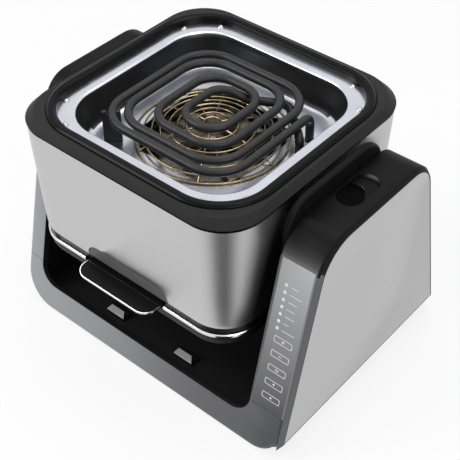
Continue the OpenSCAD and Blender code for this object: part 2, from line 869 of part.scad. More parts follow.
module bend(r, a) {
  rotate_extrude(angle = a) translate([r, 0]) circle(tube_r + join);
}

module heating_element() {
  color("#3a3a3d") at_head() {
    translate([0, 0, coil_z]) for (i = [0:len(coil_path) - 2]) {
      d = way(i);
      start = flat(coil_path[i]) + d*coil_path[i][2];
      end = flat(coil_path[i + 1]) - d*coil_path[i + 1][2];
      translate([start[0], start[1], 0]) rotate([0, 90, angle_of(d)]) tube(norm(end - start));
      if (i < len(coil_path) - 2) {
        r = coil_path[i + 1][2];
        centre = end + way(i + 1)*r;
        translate([centre[0], centre[1], 0]) rotate(angle_of(d)) bend(r, 90);
      }
    }
    translate([coil_half, leg_y, coil_z - leg_bend]) rotate([90, 0, 90]) bend(leg_bend, 90);
    translate([coil_half, leg_y + leg_bend, leg_foot]) tube(coil_z - leg_bend - leg_foot);
    translate([cross_x, coil_in, coil_z - cross_r]) rotate([90, 0, 0])
      rotate(90 - cross_a) bend(cross_r, cross_a);
    translate([cross_x + cross_r*sin(cross_a), coil_in, coil_z - cross_r*(1 - cos(cross_a))])
      rotate([0, 90 + cross_a, 0]) tube(cross_l);
    translate([cross_x + cross_run, coil_in, cross_z + cross_r]) rotate([90, 0, 0])
      rotate(270 - cross_a) bend(cross_r, cross_a);
    translate([cross_x + cross_run, coil_in, cross_z]) rotate([0, 90, 0])
      tube(leg_x - leg_bend - cross_x - cross_run);
    translate([leg_x - leg_bend, coil_in, cross_z - leg_bend]) rotate([90, 0, 0]) bend(leg_bend, 90);
    translate([leg_x, coil_in, leg_foot]) tube(cross_z - leg_bend - leg_foot);
  }
}

// Saddle under the outer turn's front left corner
module element_support() {
  saddle_w = 18;
  saddle_t = 3;
  ear = 2;
  corner = coil_half - coil_bend*(1 - sqrt(0.5));
  color("#1c1c1d") at_head() translate([-corner, -corner, 0]) rotate(45) difference() {
    union() {
      translate([-saddle_w/2, -saddle_t/2, pan_deck]) cube([saddle_w, saddle_t, coil_z + ear - pan_deck]);
      translate([-saddle_w/2 + 2, -4, pan_deck]) cube([saddle_w - 4, 8, 1.5]);
    }
    translate([0, 0, coil_z]) rotate([90, 0, 0])
      cylinder(r = tube_r + fit_gap, h = 3*saddle_t, center = true);
    translate([-tube_r - fit_gap, -2*saddle_t, coil_z]) cube([2*(tube_r + fit_gap), 4*saddle_t, 2*tube_d]);
  }
}

module element_bushes() {
  color("#d8d2c4") at_head() at_legs() difference() {
    union() {
      translate([0, 0, pan_floor - 3]) cylinder(r = sleeve_r, h = pan_t + 3);
      translate([0, 0, pan_deck]) cylinder(r = sleeve_r + 2, h = 2.5);
    }
    translate([0, 0, pan_floor - 3 - past]) cylinder(r = tube_r + run_gap, h = 10);
  }
}

// Domed guard: rings on a sphere, carried by spokes under them
dome_r = (pow(guard_r, 2) + pow(guard_rise, 2))/(2*guard_rise);
rim_z = pan_deck + guard_wire + seat_gap/2;
dome_z = rim_z + guard_rise - dome_r;

module fan_guard() {
  color("#8a7f6d") at_head() {
    for (i = [1:guard_rings]) {
      r = guard_r*i/guard_rings;
      translate([0, 0, dome_z + sqrt(pow(dome_r, 2) - pow(r, 2))]) rotate_extrude()
        translate([r, 0]) square(wire_d, center = true);
    }
    half = asin(guard_r/dome_r);
    first = asin(guard_r/guard_rings/dome_r);
    for (a = [0:360/guard_spokes:359]) rotate(a) translate([0, 0, dome_z]) rotate([90, 0, 0])
      rotate(90 - half) rotate_extrude(angle = half - first) translate([dome_r, 0])
        square([wire_d*0.8, wire_d*0.9], center = true);
  }
}

module fan_well() {
  wall = 1;
  color("#b5b8bb") at_head() difference() {
    union() {
      translate([0, 0, pan_floor - wall]) cylinder(r = well_r + 4, h = wall);
      translate([0, 0, well_z]) cylinder(r = well_r, h = fan_well_h);
    }
    translate([0, 0, well_z + wall]) cylinder(r = well_r - wall, h = fan_well_h);
    translate([0, 0, well_z - past]) cylinder(r = shaft_r + 3, h = 3*past);
  }
}

module heat_shield() {
  color("#a5a8ab") at_head() difference() {
    slab(2*shield_half, mouth_r, shield_z, collar_z - shield_z);
    slab(2*(shield_half - shield_t), mouth_r - shield_t, shield_z - past, collar_z - shield_z + 2*past);
  }
}

module motor_bracket() {
  color("#9b9ea1") at_head() difference() {
    union() {
      translate([0, 0, bracket_z - bracket_t]) cylinder(r = bracket_r, h = bracket_t);
      for (a = [45:90:315]) rotate(a) translate([bracket_r - 6, 0, bracket_z - past])
        cylinder(r = 4, h = bracket_gap + past);
    }
    translate([0, 0, bracket_z - 2*bracket_t]) cylinder(r = shaft_r + 5, h = 4*bracket_t);
  }
}

module motor() {
  color("#77797c") at_head() difference() {
    union() {
      translate([0, 0, bracket_z - bracket_t - motor_h]) cylinder(r = motor_r, h = motor_h);
      translate([0, 0, bracket_z - bracket_t - past]) cylinder(r = shaft_r + 4, h = bracket_t + past + 1);
    }
    translate([0, 0, bracket_z - motor_h + 4]) cylinder(r = shaft_r + run_gap, h = motor_h + 2*past);
  }
}

module fan_shaft() {
  foot = bracket_z - motor_h + 4 + fit_gap;
  color("#c2c4c6") at_head() translate([0, 0, foot]) cylinder(r = shaft_r, h = fan_top - foot);
}

module fan() {
  hub_r = 12;
  blade_t = 1.5;
  color("#9d8f78") at_head() difference() {
    union() {
      translate([0, 0, fan_z]) cylinder(r = hub_r, h = fan_h);
      translate([0, 0, fan_z]) cylinder(r = fan_r - 8, h = 1.2);
      for (a = [0:360/fan_blades:359]) rotate(a) translate([hub_r - 2, -blade_t/2, fan_z]) rotate(8)
        cube([fan_r - hub_r, blade_t, fan_h]);
    }
    translate([0, 0, fan_z - past]) cylinder(r = shaft_r + skin, h = fan_h + 2*past);
  }
}

module cooling_fan() {
  cool_r = bracket_r - 14;
  cool_h = 6;
  cool_z = bracket_z + 3;
  color("#3b3b3d") at_head() difference() {
    union() {
      translate([0, 0, cool_z]) cylinder(r = 8, h = cool_h);
      for (a = [0:60:300]) rotate(a) translate([6, -0.7, cool_z]) cube([cool_r - 6, 1.4, cool_h]);
    }
    translate([0, 0, cool_z - past]) cylinder(r = shaft_r + skin, h = cool_h + 2*past);
  }
}

module thermostat() {
  color("#b0a78f") at_head() translate([-guard_r - 11, 0, pan_floor - 8]) {
    cylinder(r = 6, h = 8 - seat_gap/2);
    translate([-1.5, -5, -6]) cube([3, 10, 7]);
  }
}

module bottom_cover() {
  inner = cover_half - shell_t;
  rim_z1 = band_foot + 8;
  color("#19191a") at_head() difference() {
    union() {
      difference() {
        union() {
          taper(2*cover_half - 6, cover_r - 2, cover_z, 2*cover_half + 6, cover_r + 3, cover_z + 4);
          slab(2*cover_half + 6, cover_r + 3, cover_z + 4 - skin, step_z - cover_z - 4 + skin);
          slab(2*cover_half, cover_r, step_z - past, rim_z1 - step_z + past);
        }
        slab(2*inner, cover_r - shell_t, cover_z + shell_t, rim_z1);
      }
      at_posts() translate([0, 0, cover_z + 1]) cylinder(r = post_r, h = collar_z - cover_z - 1);
    }
    for (i = [-4:4]) translate([i*14, 0, cover_z - past]) linear_extrude(shell_t + 2*past) stadium(5, 90);
    at_posts() {
      translate([0, 0, cover_z - past]) cylinder(r = 1.5, h = cover_h + 10);
      translate([0, 0, cover_z - past]) cylinder(r = 3, h = past + 2);
    }
  }
}

module at_posts() {
  for (x = [-1, 1], y = [-1, 1]) translate([x*post_at, y*post_at, 0]) children();
}

module head_screws() {
  color("#8d8f92") at_head() at_posts() {
    translate([0, 0, cover_z + 0.3]) cylinder(r = 2.8, h = 1.7);
    translate([0, 0, cover_z + 0.3]) cylinder(r = 1.4, h = cover_h + 6);
  }
}

module lower_trim() {
  color("#d0d2d4") at_head() difference() {
    slab(band_foot_w + 1, head_r - 6, step_z, trim_h);
    slab(2*cover_half + 2*seat_gap, cover_r + seat_gap, step_z - past, trim_h + 2*past);
    translate([-lip_w/2 - 6, -band_foot_w, step_z - past])
      cube([lip_w + 12, band_foot_w - cover_half + past, trim_h + 2*past]);
  }
}

// Lip outline in front of the cover, grown by t
module lip_outline(t) {
  reach = lip_reach - lip_trim_t - cover_half + t;
  difference() {
    translate([0, -cover_half]) rounded(lip_w + 2*t, 2*reach, lip_r + t);
    translate([-lip_w, -cover_half - seat_gap]) square([2*lip_w, 2*reach]);
  }
}

lip_z = trim_top + 3;

module handle_lip() {
  apron = 4;
  color("#161617") at_head() {
    translate([0, 0, lip_z]) linear_extrude(lip_t) lip_outline(0);
    translate([-lip_w/2, -cover_half - apron, step_z + seat_gap])
      cube([lip_w, apron - seat_gap, lip_z - step_z]);
  }
}

module lip_trim() {
  color("#dcdee0") at_head() translate([0, 0, lip_z + 0.8]) linear_extrude(lip_t - 1.2) difference() {
    lip_outline(lip_trim_t);
    lip_outline(seat_gap/2);
  }
}

// Trunnion with its flange between the heat shield and the band
module left_trunnion() {
  flange_x = head_x - shield_half;
  color("#9a9da0") {
    axle(flange_r, flange_x - 15, flange_x - seat_gap);
    axle(pin_r, left_out + panel_t + 1, flange_x - 14);
  }
}

disc_x = slot_x - disc_t/2;

module right_trunnion() {
  flange_x = head_x + shield_half;
  color("#9a9da0") difference() {
    union() {
      axle(flange_r, flange_x + seat_gap, flange_x + 15);
      axle(pin_r, flange_x + 14, disc_x + disc_t + 2);
    }
    axle(pin_r - 4, flange_x - past, disc_x + disc_t + 2 + past);
  }
}

module lock_disc() {
  color("#85888b") difference() {
    axle(disc_r, disc_x, disc_x + disc_t);
    axle(pin_r + skin, disc_x - past, disc_x + disc_t + past);
    for (y = [-1, 1]) translate([disc_x - past, head_y + y*disc_r - notch_depth, pivot_z - nose_r - 0.5])
      cube([disc_t + 2*past, 2*notch_depth, 2*nose_r + 1]);
  }
}

base_plate();
feet();
base_screws();
well_tray();
pot_stops();
stop_caps();
front_bezel();
rear_sill();
left_wall();
left_panel();
left_bush();
tower_shell();
side_panel();
control_panel();
control_board();
power_board();
cord_gland();
right_housing();
right_bush();
lock_knob();
lock_bolt();
band();
finger_recess();
collar();
gasket();
reflector_pan();
pan_clips();
heating_element();
element_support();
element_bushes();
fan_guard();
fan_well();
heat_shield();
motor_bracket();
motor();
thermostat();
bottom_cover();
lower_trim();
handle_lip();
lip_trim();
head_screws();
left_trunnion();
right_trunnion();
lock_disc();
fan();
fan_shaft();
cooling_fan();
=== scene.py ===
import bpy
import bmesh
import json
import math
from mathutils import Matrix, Vector


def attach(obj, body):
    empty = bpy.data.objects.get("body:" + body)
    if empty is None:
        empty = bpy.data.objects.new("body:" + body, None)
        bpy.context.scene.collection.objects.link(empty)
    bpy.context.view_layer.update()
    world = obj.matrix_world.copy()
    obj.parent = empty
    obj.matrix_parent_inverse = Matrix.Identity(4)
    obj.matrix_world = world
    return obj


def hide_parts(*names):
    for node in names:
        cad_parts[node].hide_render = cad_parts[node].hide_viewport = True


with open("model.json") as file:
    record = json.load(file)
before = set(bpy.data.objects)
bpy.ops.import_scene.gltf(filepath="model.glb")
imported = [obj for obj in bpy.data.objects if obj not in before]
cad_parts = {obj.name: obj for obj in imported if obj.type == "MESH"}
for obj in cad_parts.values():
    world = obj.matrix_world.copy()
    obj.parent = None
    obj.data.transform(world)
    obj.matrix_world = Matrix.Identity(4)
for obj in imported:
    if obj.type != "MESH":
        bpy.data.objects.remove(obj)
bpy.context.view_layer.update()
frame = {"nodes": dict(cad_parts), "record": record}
scene = bpy.context.scene
MM = 0.001

# Places and sizes in millimetres, as in the part's source. V runs up the leaning front, from its foot.
HEAD_X, HEAD_Y, PIVOT_Z = -15.0, 5.45, 201.0
LEFT_OUT, LEFT_IN, RIGHT_IN, RIGHT_OUT = -175.5, -155.5, 133.0, 175.5
FRONT_Y, REAR_Y = -127.05, 149.95
BASE_Z, DECK_Z, FLOOR_Z, WALL_TOP = 3.0, 6.0, 20.0, 239.0

# Walls: lean of the front and rear, crown, bevel, and the foot that is drawn in
LEAN_A = 13.5
LEAN = math.radians(LEAN_A)
CROWN_R, CROWN_REAR, BEVEL_W = 40.0, 33.0, 3.0
CROWN_K = 1 / math.tan((math.pi / 2 + LEAN) / 2)
BEVEL_X = RIGHT_OUT - BEVEL_W
EDGE_R, WALL_FOOT, TUCK_H, TUCK_W = 36.0, 3.0, 15.0, 16.0
INLAY_REAR = 30.0
HOUSING_L, HOUSING_H, HOUSING_R, HOUSING_RISE = 144.0, 92.0, 30.0, 18.0

# Bezel, control panel and lock
BEZEL_T, BAR_H, BEZEL_R, CORNER_R, STRIP_W = 6.0, 30.0, 22.0, 30.0, 2.4
BAR_V, SEAM_V, SEAM_W, POST_L = 0.2, 55.0, 0.5, 211.2
KEYS_V, KEYS_L, KEYS_W, KEYS_X, KEYS_GAP = 52.0, 165.0, 35.5, 153.25, 0.7
KEY_TOP, KEY_STEP, LIST_TOP, LIST_STEP = 133.2, 16.4, 192.4, 7.9
MARK_LO, MARK_HI = 0.1, 0.22
SLOT_X, SLOT_Y, SLOT_R, SLOT_RUN = 149.75, 13.45, 12.5, 12.75
KNOB_Y, KNOB_R, SCOOP_R, SCOOP_Z = 1.7, 12.2, 8.9, 247.0

# Head: pan, element, guard, fan, finger recess and lip
PAN_DECK, PAN_TOP, PAN_BACK, CLIP_X, CLIP_Y = 224.2, 259.2, 258.0, 84.0, 111.0
COIL_Z, CROSS_DROP, TUBE_R, LEG_FOOT = 256.2, 9.6, 4.3, 215.0
LEGS = ((79, 50), (86, 25))
SADDLE_AT, SADDLE_HALF, SADDLE_TOP, SADDLE_T = -67.7, 9.0, 258.6, 1.9
GUARD_R, GUARD_H, GUARD_RINGS, GUARD_SPOKES, WIRE_R, SPOKE_R = 76.0, 14.0, 9, 6, 1.0, 0.9
FAN_Z, FAN_TOP, FAN_BLADES, BLADE_T, BLADE_LEAN = 210.0, 220.0, 8, 0.75, 1.2
BLADE_IN, BLADE_L, BLADE_SWEEP = 10.0, 51.4, 8.0
RECESS_X, RECESS_HALF, RECESS_R, RECESS_Z, BAND_FOOT = 4.0, 53.0, 15.0, 131.0, 130.0
AXLE_HOLE_R, AXLE_HOLE_X = 10.0, 134.0
COVER_Z, VENT_STEP, VENT_R, VENT_HALF = 104.0, 14.0, 2.5, 42.5
TRIM_Z, TRIM_TOP, TRIM_GAP = 118.0, 122.0, (-55.0, 49.5)
LIP_HALF, LIP_R, LIP_Y, LIP_ROOT, LIP_Z, LIP_TOP = 48.0, 14.0, -138.2, -126.4, 119.6, 124.0

# Pot stops in the well
STOP_X, STOP_HALF, STOP_FRONT, STOP_STEP, STOP_REAR = 48.0, 12.0, -106.0, -98.0, -94.0
STOP_LOW, STOP_TOP, CAP_SLANT = 23.5, 25.0, 6.4


# Materials

def new_mat(name):
    m = bpy.data.materials.new(name)
    m.use_nodes = True
    return m, m.node_tree, m.node_tree.nodes["Principled BSDF"]


def noise(nt, scale, detail=2.0, rough=0.5):
    tc = nt.nodes.new("ShaderNodeTexCoord")
    mp = nt.nodes.new("ShaderNodeMapping")
    mp.inputs["Scale"].default_value = scale
    nz = nt.nodes.new("ShaderNodeTexNoise")
    nz.inputs["Scale"].default_value = 1.0
    nz.inputs["Detail"].default_value = detail
    nz.inputs["Roughness"].default_value = rough
    nt.links.new(tc.outputs["Object"], mp.inputs["Vector"])
    nt.links.new(mp.outputs["Vector"], nz.inputs["Vector"])
    return nz.outputs["Fac"]


def ramp(nt, fac, stops):
    cr = nt.nodes.new("ShaderNodeValToRGB")
    el = cr.color_ramp.elements
    while len(el) < len(stops):
        el.new(0.5)
    for e, (pos, col) in zip(el, stops):
        e.position = pos
        e.color = (*col, 1.0) if isinstance(col, tuple) else (col, col, col, 1.0)
    nt.links.new(fac, cr.inputs["Fac"])
    return cr.outputs["Color"]


def between(nt, fac, low, high):
    """Spreads a noise, most of which lies between 0.3 and 0.7, from low to high."""
    return ramp(nt, fac, [(0.3, low), (0.7, high)])


def bump(nt, height, strength, distance):
    b = nt.nodes.new("ShaderNodeBump")
    b.inputs["Strength"].default_value = strength
    b.inputs["Distance"].default_value = distance
    nt.links.new(height, b.inputs["Height"])
    return b.outputs["Normal"]


def mapped(nt, value, lo, hi):
    mr = nt.nodes.new("ShaderNodeMapRange")
    mr.inputs["From Min"].default_value = lo
    mr.inputs["From Max"].default_value = hi
    nt.links.new(value, mr.inputs["Value"])
    return mr.outputs["Result"]


def part_of(nt, vector, axis):
    sx = nt.nodes.new("ShaderNodeSeparateXYZ")
    nt.links.new(vector, sx.inputs["Vector"])
    return sx.outputs[axis]


def tint(c, k):
    return tuple(min(1.0, v * k) for v in c)


def coloured(nt, b, fac, col, spread):
    nt.links.new(between(nt, fac, tint(col, 1 - spread), tint(col, 1 + spread)), b.inputs["Base Color"])


def textured(nt, b, fac, rough, depth, distance):
    nt.links.new(between(nt, fac, *rough), b.inputs["Roughness"])
    nt.links.new(bump(nt, fac, depth, distance), b.inputs["Normal"])


def brushed(name, col, across, rough, spread, fine=900.0, slow=6.0):
    """Steel with fine scratches: across is 1 for each axis that they don't run along."""
    m, nt, b = new_mat(name)
    n = noise(nt, tuple(fine if a else slow for a in across), 3.0, 0.6)
    b.inputs["Metallic"].default_value = 1.0
    coloured(nt, b, n, col, spread)
    textured(nt, b, n, rough, 0.06, 0.0002)
    return m


def plastic(name, col, rough=(0.4, 0.5), grain=1800.0, depth=0.12, spec=0.5, spread=0.1):
    """Moulded plastic: a fine eroded grain in bump and roughness, with a slow change of colour."""
    m, nt, b = new_mat(name)
    g = noise(nt, (grain,) * 3)
    coloured(nt, b, noise(nt, (14.0,) * 3, 3.0), col, spread)
    textured(nt, b, g, rough, depth, 0.0002)
    b.inputs["Specular IOR Level"].default_value = spec
    return m


def metal(name, col, rough, scale, spread, depth, metallic=1.0):
    m, nt, b = new_mat(name)
    n = noise(nt, (scale,) * 3, 4.0, 0.55)
    b.inputs["Metallic"].default_value = metallic
    coloured(nt, b, n, col, spread)
    textured(nt, b, n, rough, depth, 0.0005)
    return m


def lacquer_with_painted_shade(name, rough, grain, axis, lo, hi, stops, flakes=2200.0, spread=0.05):
    """Satin silver, lacquered, with fine flakes, whose colour changes along one axis from lo to hi in metres: painted
    shade, lighter at one end as if more light fell there.
    """
    m, nt, b = new_mat(name)
    b.inputs["Metallic"].default_value = 0.35
    b.inputs["Specular IOR Level"].default_value = 0.3
    textured(nt, b, noise(nt, (grain,) * 3), rough, 0.03, 0.0003)
    tc = nt.nodes.new("ShaderNodeTexCoord")
    mx = nt.nodes.new("ShaderNodeMix")
    mx.data_type = "RGBA"
    mx.blend_type = "MULTIPLY"
    mx.inputs["Factor"].default_value = 1.0
    nt.links.new(ramp(nt, mapped(nt, part_of(nt, tc.outputs["Object"], axis), lo, hi), stops), mx.inputs["A"])
    nt.links.new(between(nt, noise(nt, (flakes,) * 3), 1 - spread, 1.0), mx.inputs["B"])
    nt.links.new(mx.outputs["Result"], b.inputs["Base Color"])
    return m


def painted_front_sheen(m, stops):
    """Replaces a material's colour by a painted sheen: the more a face looks to the front, the lighter it is painted.
    """
    nt = m.node_tree
    geo = nt.nodes.new("ShaderNodeNewGeometry")
    front = mapped(nt, part_of(nt, geo.outputs["Normal"], "Y"), -0.4, -1.0)
    nt.links.new(ramp(nt, front, stops), nt.nodes["Principled BSDF"].inputs["Base Color"])
    return m


def grained(m, amount):
    """Stretches a brushed metal's reflections across its scratches."""
    nt = m.node_tree
    b = nt.nodes["Principled BSDF"]
    tg = nt.nodes.new("ShaderNodeTangent")
    tg.direction_type = "RADIAL"
    tg.axis = "Z"
    nt.links.new(tg.outputs["Tangent"], b.inputs["Tangent"])
    b.inputs["Anisotropic"].default_value = amount
    return m


MATS = {
    "black_plastic": plastic("black_plastic", (0.0052, 0.0052, 0.0056), depth=0.1, spec=0.08),
    "black_gloss": plastic("black_gloss", (0.005, 0.005, 0.0054), (0.24, 0.32), 2500.0, 0.04, 0.3),
    "well_black": plastic("well_black", (0.013, 0.013, 0.0134), depth=0.1, spec=0.16),
    "cover_black": plastic("cover_black", (0.006, 0.006, 0.006), (0.34, 0.44), 2200.0, 0.06, 0.15),
    "collar_black": plastic("collar_black", (0.02, 0.02, 0.0206), (0.45, 0.55), 1500.0, 0.12, 0.1),
    "gasket_black": plastic("gasket_black", (0.0024, 0.0024, 0.0026), (0.16, 0.24), 700.0, 0.03, 0.1),
    "rubber_black": plastic("rubber_black", (0.012, 0.012, 0.012), (0.6, 0.72), 1200.0, 0.2, 0.2),
    # The bezel is painted darker from left to right: painted shade, as if less light reached its right end.
    "bezel_silver": lacquer_with_painted_shade("bezel_silver", (0.42, 0.5), 2200.0, "X", LEFT_OUT * MM, RIGHT_OUT * MM, [
        (0.0, (0.37, 0.372, 0.38)), (0.3, (0.31, 0.312, 0.32)), (0.46, (0.245, 0.247, 0.253)),
        (0.61, (0.172, 0.173, 0.178)), (0.75, (0.135, 0.136, 0.14)), (1.0, (0.115, 0.116, 0.12))]),
    # The control panel is painted lighter towards its top: painted light, as if more light fell on its top than on its
    # foot.
    "panel_grey": lacquer_with_painted_shade("panel_grey", (0.38, 0.44), 2600.0, "Z", 0.055, 0.207, [
        (0.0, (0.108, 0.109, 0.112)), (0.35, (0.2, 0.201, 0.206)), (0.65, (0.31, 0.312, 0.318)),
        (1.0, (0.47, 0.472, 0.48))]),
    "recess_grey": plastic("recess_grey", (0.11, 0.11, 0.113), (0.4, 0.48), 2000.0, 0.06, 0.2),
    "cap_silver": metal("cap_silver", (0.6, 0.6, 0.61), (0.36, 0.44), 1800.0, 0.03, 0.03, 0.3),
    "brushed_band": grained(brushed("brushed_band", (0.58, 0.58, 0.58), (0, 0, 1), (0.28, 0.34), 0.03), 0.9),
    "brushed_panel": brushed("brushed_panel", (0.5, 0.5, 0.505), (1, 0, 1), (0.34, 0.44), 0.025),
    "pan_bright": metal("pan_bright", (0.62, 0.64, 0.7), (0.2, 0.28), 30.0, 0.04, 0.02),
    "trim_chrome": metal("trim_chrome", (0.74, 0.74, 0.75), (0.12, 0.2), 400.0, 0.02, 0.01),
    "element_black": plastic("element_black", (0.016, 0.016, 0.0175), (0.36, 0.48), 900.0, 0.2, 0.3),
    "guard_wire": metal("guard_wire", (0.42, 0.34, 0.22), (0.14, 0.26), 90.0, 0.3, 0.05),
    "zinc_steel": metal("zinc_steel", (0.52, 0.53, 0.55), (0.25, 0.4), 300.0, 0.06, 0.04),
    "screw_steel": metal("screw_steel", (0.55, 0.55, 0.56), (0.2, 0.32), 500.0, 0.05, 0.04),
    "bush_brass": metal("bush_brass", (0.68, 0.55, 0.3), (0.22, 0.34), 500.0, 0.05, 0.03),
    "ceramic": plastic("ceramic", (0.66, 0.62, 0.54), (0.55, 0.7), 900.0, 0.15),
    "board_green": plastic("board_green", (0.03, 0.17, 0.07), (0.3, 0.4), 600.0, 0.05),
}
MARK = plastic("mark_white", (0.82, 0.82, 0.82), (0.4, 0.5), 1500.0, 0.03, 0.3, 0.02)
# Near-black paint for the bezel's inner edge round the well's opening, also given to the throwaway cutters.
NEAR_BLACK = plastic("near_black", (0.006, 0.006, 0.006), (0.5, 0.6), 900.0, 0.05, 0.2)
# The fan's steel is darkened: its own dark steel, and painted shade in the well under the guard.
FAN_STEEL_AND_PAINTED_SHADE = metal("fan_steel_and_painted_shade", (0.2, 0.175, 0.14), (0.16, 0.34), 60.0, 0.5, 0.05)
# Dark copy of the pan's metal for the bowl's walls: a painted dark reflection.
PAN_WALL_PAINTED_REFLECTION = metal("pan_wall_painted_reflection", (0.06, 0.061, 0.066), (0.3, 0.4), 40.0, 0.06, 0.02)
# The fan well is painted dark: painted shade in the recess under the guard.
FAN_WELL_PAINTED_SHADE = metal("fan_well_painted_shade", (0.05, 0.046, 0.042), (0.3, 0.45), 80.0, 0.2, 0.03)
# The towers' black, painted lighter where faces look to the front: a painted highlight on the crown and front.
CROWN_PAINTED_SHEEN = painted_front_sheen(plastic("crown_painted_sheen", (0.005, 0.005, 0.005), depth=0.1, spec=0.08), [
    (0.0, 0.0052), (0.4, 0.01), (0.62, 0.03), (0.78, 0.075), (0.9, 0.19), (1.0, 0.27)])
KNOB_DARK = plastic("knob_dark", (0.0022, 0.0022, 0.0024), (0.5, 0.6), 1500.0, 0.06, 0.02)
# Lighter, glossier black for the knob's raised rear edge: a painted highlight.
KNOB_PAINTED_HIGHLIGHT = plastic("knob_painted_highlight", (0.03, 0.03, 0.031), (0.2, 0.28), 2500.0, 0.03, 0.6)

# Every node of the part takes the material of its slot
slot_of = {s["node"]: s["material_slot"] for s in frame["record"]["subparts"]}
body_of = {n: b for b, ns in frame["record"]["behaviour"]["bodies"].items() for n in ns}
for name, ob in frame["nodes"].items():
    for ms in ob.material_slots:
        ms.material = MATS[slot_of[name]]


# Pieces

def add(name, data):
    ob = bpy.data.objects.new(name, data)
    scene.collection.objects.link(ob)
    return ob


def smooth(me, angle):
    me.polygons.foreach_set("use_smooth", [True] * len(me.polygons))
    me.set_sharp_from_angle(angle=math.radians(angle))


def finish_mesh(name, verts, faces, mats, sharp=32.0):
    me = bpy.data.meshes.new(name)
    me.from_pydata([tuple(c * MM for c in v) for v in verts], [], faces)
    bm = bmesh.new()
    bm.from_mesh(me)
    bmesh.ops.remove_doubles(bm, verts=bm.verts, dist=1e-7)
    bmesh.ops.recalc_face_normals(bm, faces=bm.faces)
    bm.to_mesh(me)
    bm.free()
    for m in mats:
        me.materials.append(m)
    smooth(me, sharp)
    return add(name, me)


def round_edges(ob, width, segments=3):
    b = ob.modifiers.new("edges", "BEVEL")
    b.width = width * MM
    b.segments = segments
    b.limit_method = "ANGLE"
    b.angle_limit = math.radians(40)
    b.harden_normals = True
    b.use_clamp_overlap = True


def piece(name, verts, faces, node, mat=None, edges=0.0, segments=3, sharp=32.0, mats=None):
    """A piece that stands for a node, rides on that node's body and takes its slot."""
    ob = finish_mesh(name, verts, faces, mats or [mat or MATS[slot_of[node]]], sharp)
    if edges:
        round_edges(ob, edges, segments)
    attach(ob, body_of[node])
    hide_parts(node)
    return ob


def cut(ob, verts, faces, mode="DIFFERENCE", sharp=32.0):
    """Boolean with a throwaway cutter, applied to the piece's mesh."""
    cutter = finish_mesh("cutter", verts, faces, [NEAR_BLACK])
    md = ob.modifiers.new("cut", "BOOLEAN")
    md.operation = mode
    md.solver = "EXACT"
    md.object = cutter
    dg = bpy.context.evaluated_depsgraph_get()
    dg.update()
    me = bpy.data.meshes.new_from_object(ob.evaluated_get(dg))
    ob.modifiers.clear()
    spent = [ob.data, cutter.data]
    ob.data = me
    bpy.data.objects.remove(cutter)
    for old in spent:
        bpy.data.meshes.remove(old)
    smooth(me, sharp)


def paint(ob, second):
    """Gives a piece's second material to the faces whose centre, in millimetres, and normal pass the test."""
    for p in ob.data.polygons:
        p.material_index = 1 if second(p.center / MM, p.normal) else 0


# Outlines: lists of (a, b) points

def arc(cx, cy, r, start, sweep, n, ry=None):
    """Arc of n steps from start by sweep, in degrees; ry is the second radius of an ellipse."""
    turns = (math.radians(start + sweep * j / n) for j in range(n + 1))
    return [(cx + r * math.cos(a), cy + (ry or r) * math.sin(a)) for a in turns]


def circle(cx, cy, r, n, ry=None):
    return arc(cx, cy, r, 0, 360, n, ry)[:-1]


def rectangle(x0, y0, x1, y1):
    return [(x0, y0), (x1, y0), (x1, y1), (x0, y1)]


def corner_square(hx, hy, r, n=14):
    pts = []
    for k, (sx, sy) in enumerate(((1, 1), (-1, 1), (-1, -1), (1, -1))):
        pts += arc(sx * (hx - r), sy * (hy - r), r, 90 * k, 90, n)
    return pts


def stadium(cx, cy, r, half, n):
    """Long hole along b, with the centres of its round ends half to each side."""
    return arc(cx, cy + half, r, 0, 180, n) + arc(cx, cy - half, r, 180, 180, n)


# Places: each turns (a, b, c) into x, y, z

def on_front(x, v, w):
    """On the leaning front, w proud of it."""
    return (x, FRONT_Y + v * math.sin(LEAN) - w * math.cos(LEAN), BASE_Z + v * math.cos(LEAN) + w * math.sin(LEAN))


def on_crown(x, v, w):
    """On the front, and past its top round the crown."""
    if v <= POST_L:
        return on_front(x, v, w)
    a = math.pi - LEAN - (v - POST_L) / CROWN_R
    yc = FRONT_Y + (WALL_TOP - BASE_Z) * math.tan(LEAN) + CROWN_R * CROWN_K
    return (x, yc + (CROWN_R + w) * math.cos(a), WALL_TOP - CROWN_R + (CROWN_R + w) * math.sin(a))


def upright(a, b, c):
    return (a, b, c)


def at_head(a, b, c):
    return (HEAD_X + a, HEAD_Y + b, c)


def on_head_front(a, b, c):
    """(x, z) outline on the head, run along y."""
    return (HEAD_X + a, HEAD_Y + c, b)


def lengthways(a, b, c):
    """(x, z) outline run along y."""
    return (a, c, b)


def sideways(a, b, c):
    """(y, z) outline run along x."""
    return (c, a, b)


# Solids: each gives verts and faces

def loft(rings, closed=False, caps=(False, False)):
    n = len(rings[0])
    verts = [p for rg in rings for p in rg]
    faces = []
    last = len(rings) if closed else len(rings) - 1
    for i in range(last):
        a, b = i * n, ((i + 1) % len(rings)) * n
        for j in range(n):
            k = (j + 1) % n
            faces.append((a + j, a + k, b + k, b + j))
    if caps[0]:
        faces.append(tuple(range(n - 1, -1, -1)))
    if caps[1]:
        b = (len(rings) - 1) * n
        faces.append(tuple(range(b, b + n)))
    return verts, faces


def prism(outline, lo, hi, place):
    """Closed prism of an outline, from lo to hi along the third axis of its place."""
    n = len(outline)
    verts = [place(a, b, lo) for a, b in outline] + [place(a, b, hi) for a, b in outline]
    faces = [(j, (j + 1) % n, n + (j + 1) % n, n + j) for j in range(n)]
    faces += [tuple(range(n - 1, -1, -1)), tuple(range(n, 2 * n))]
    return verts, faces


def lathe(profile, cx, cy, seg=72, closed=True):
    return loft([[(x, y, z) for x, y in circle(cx, cy, r, seg)] for r, z in profile], closed=closed)


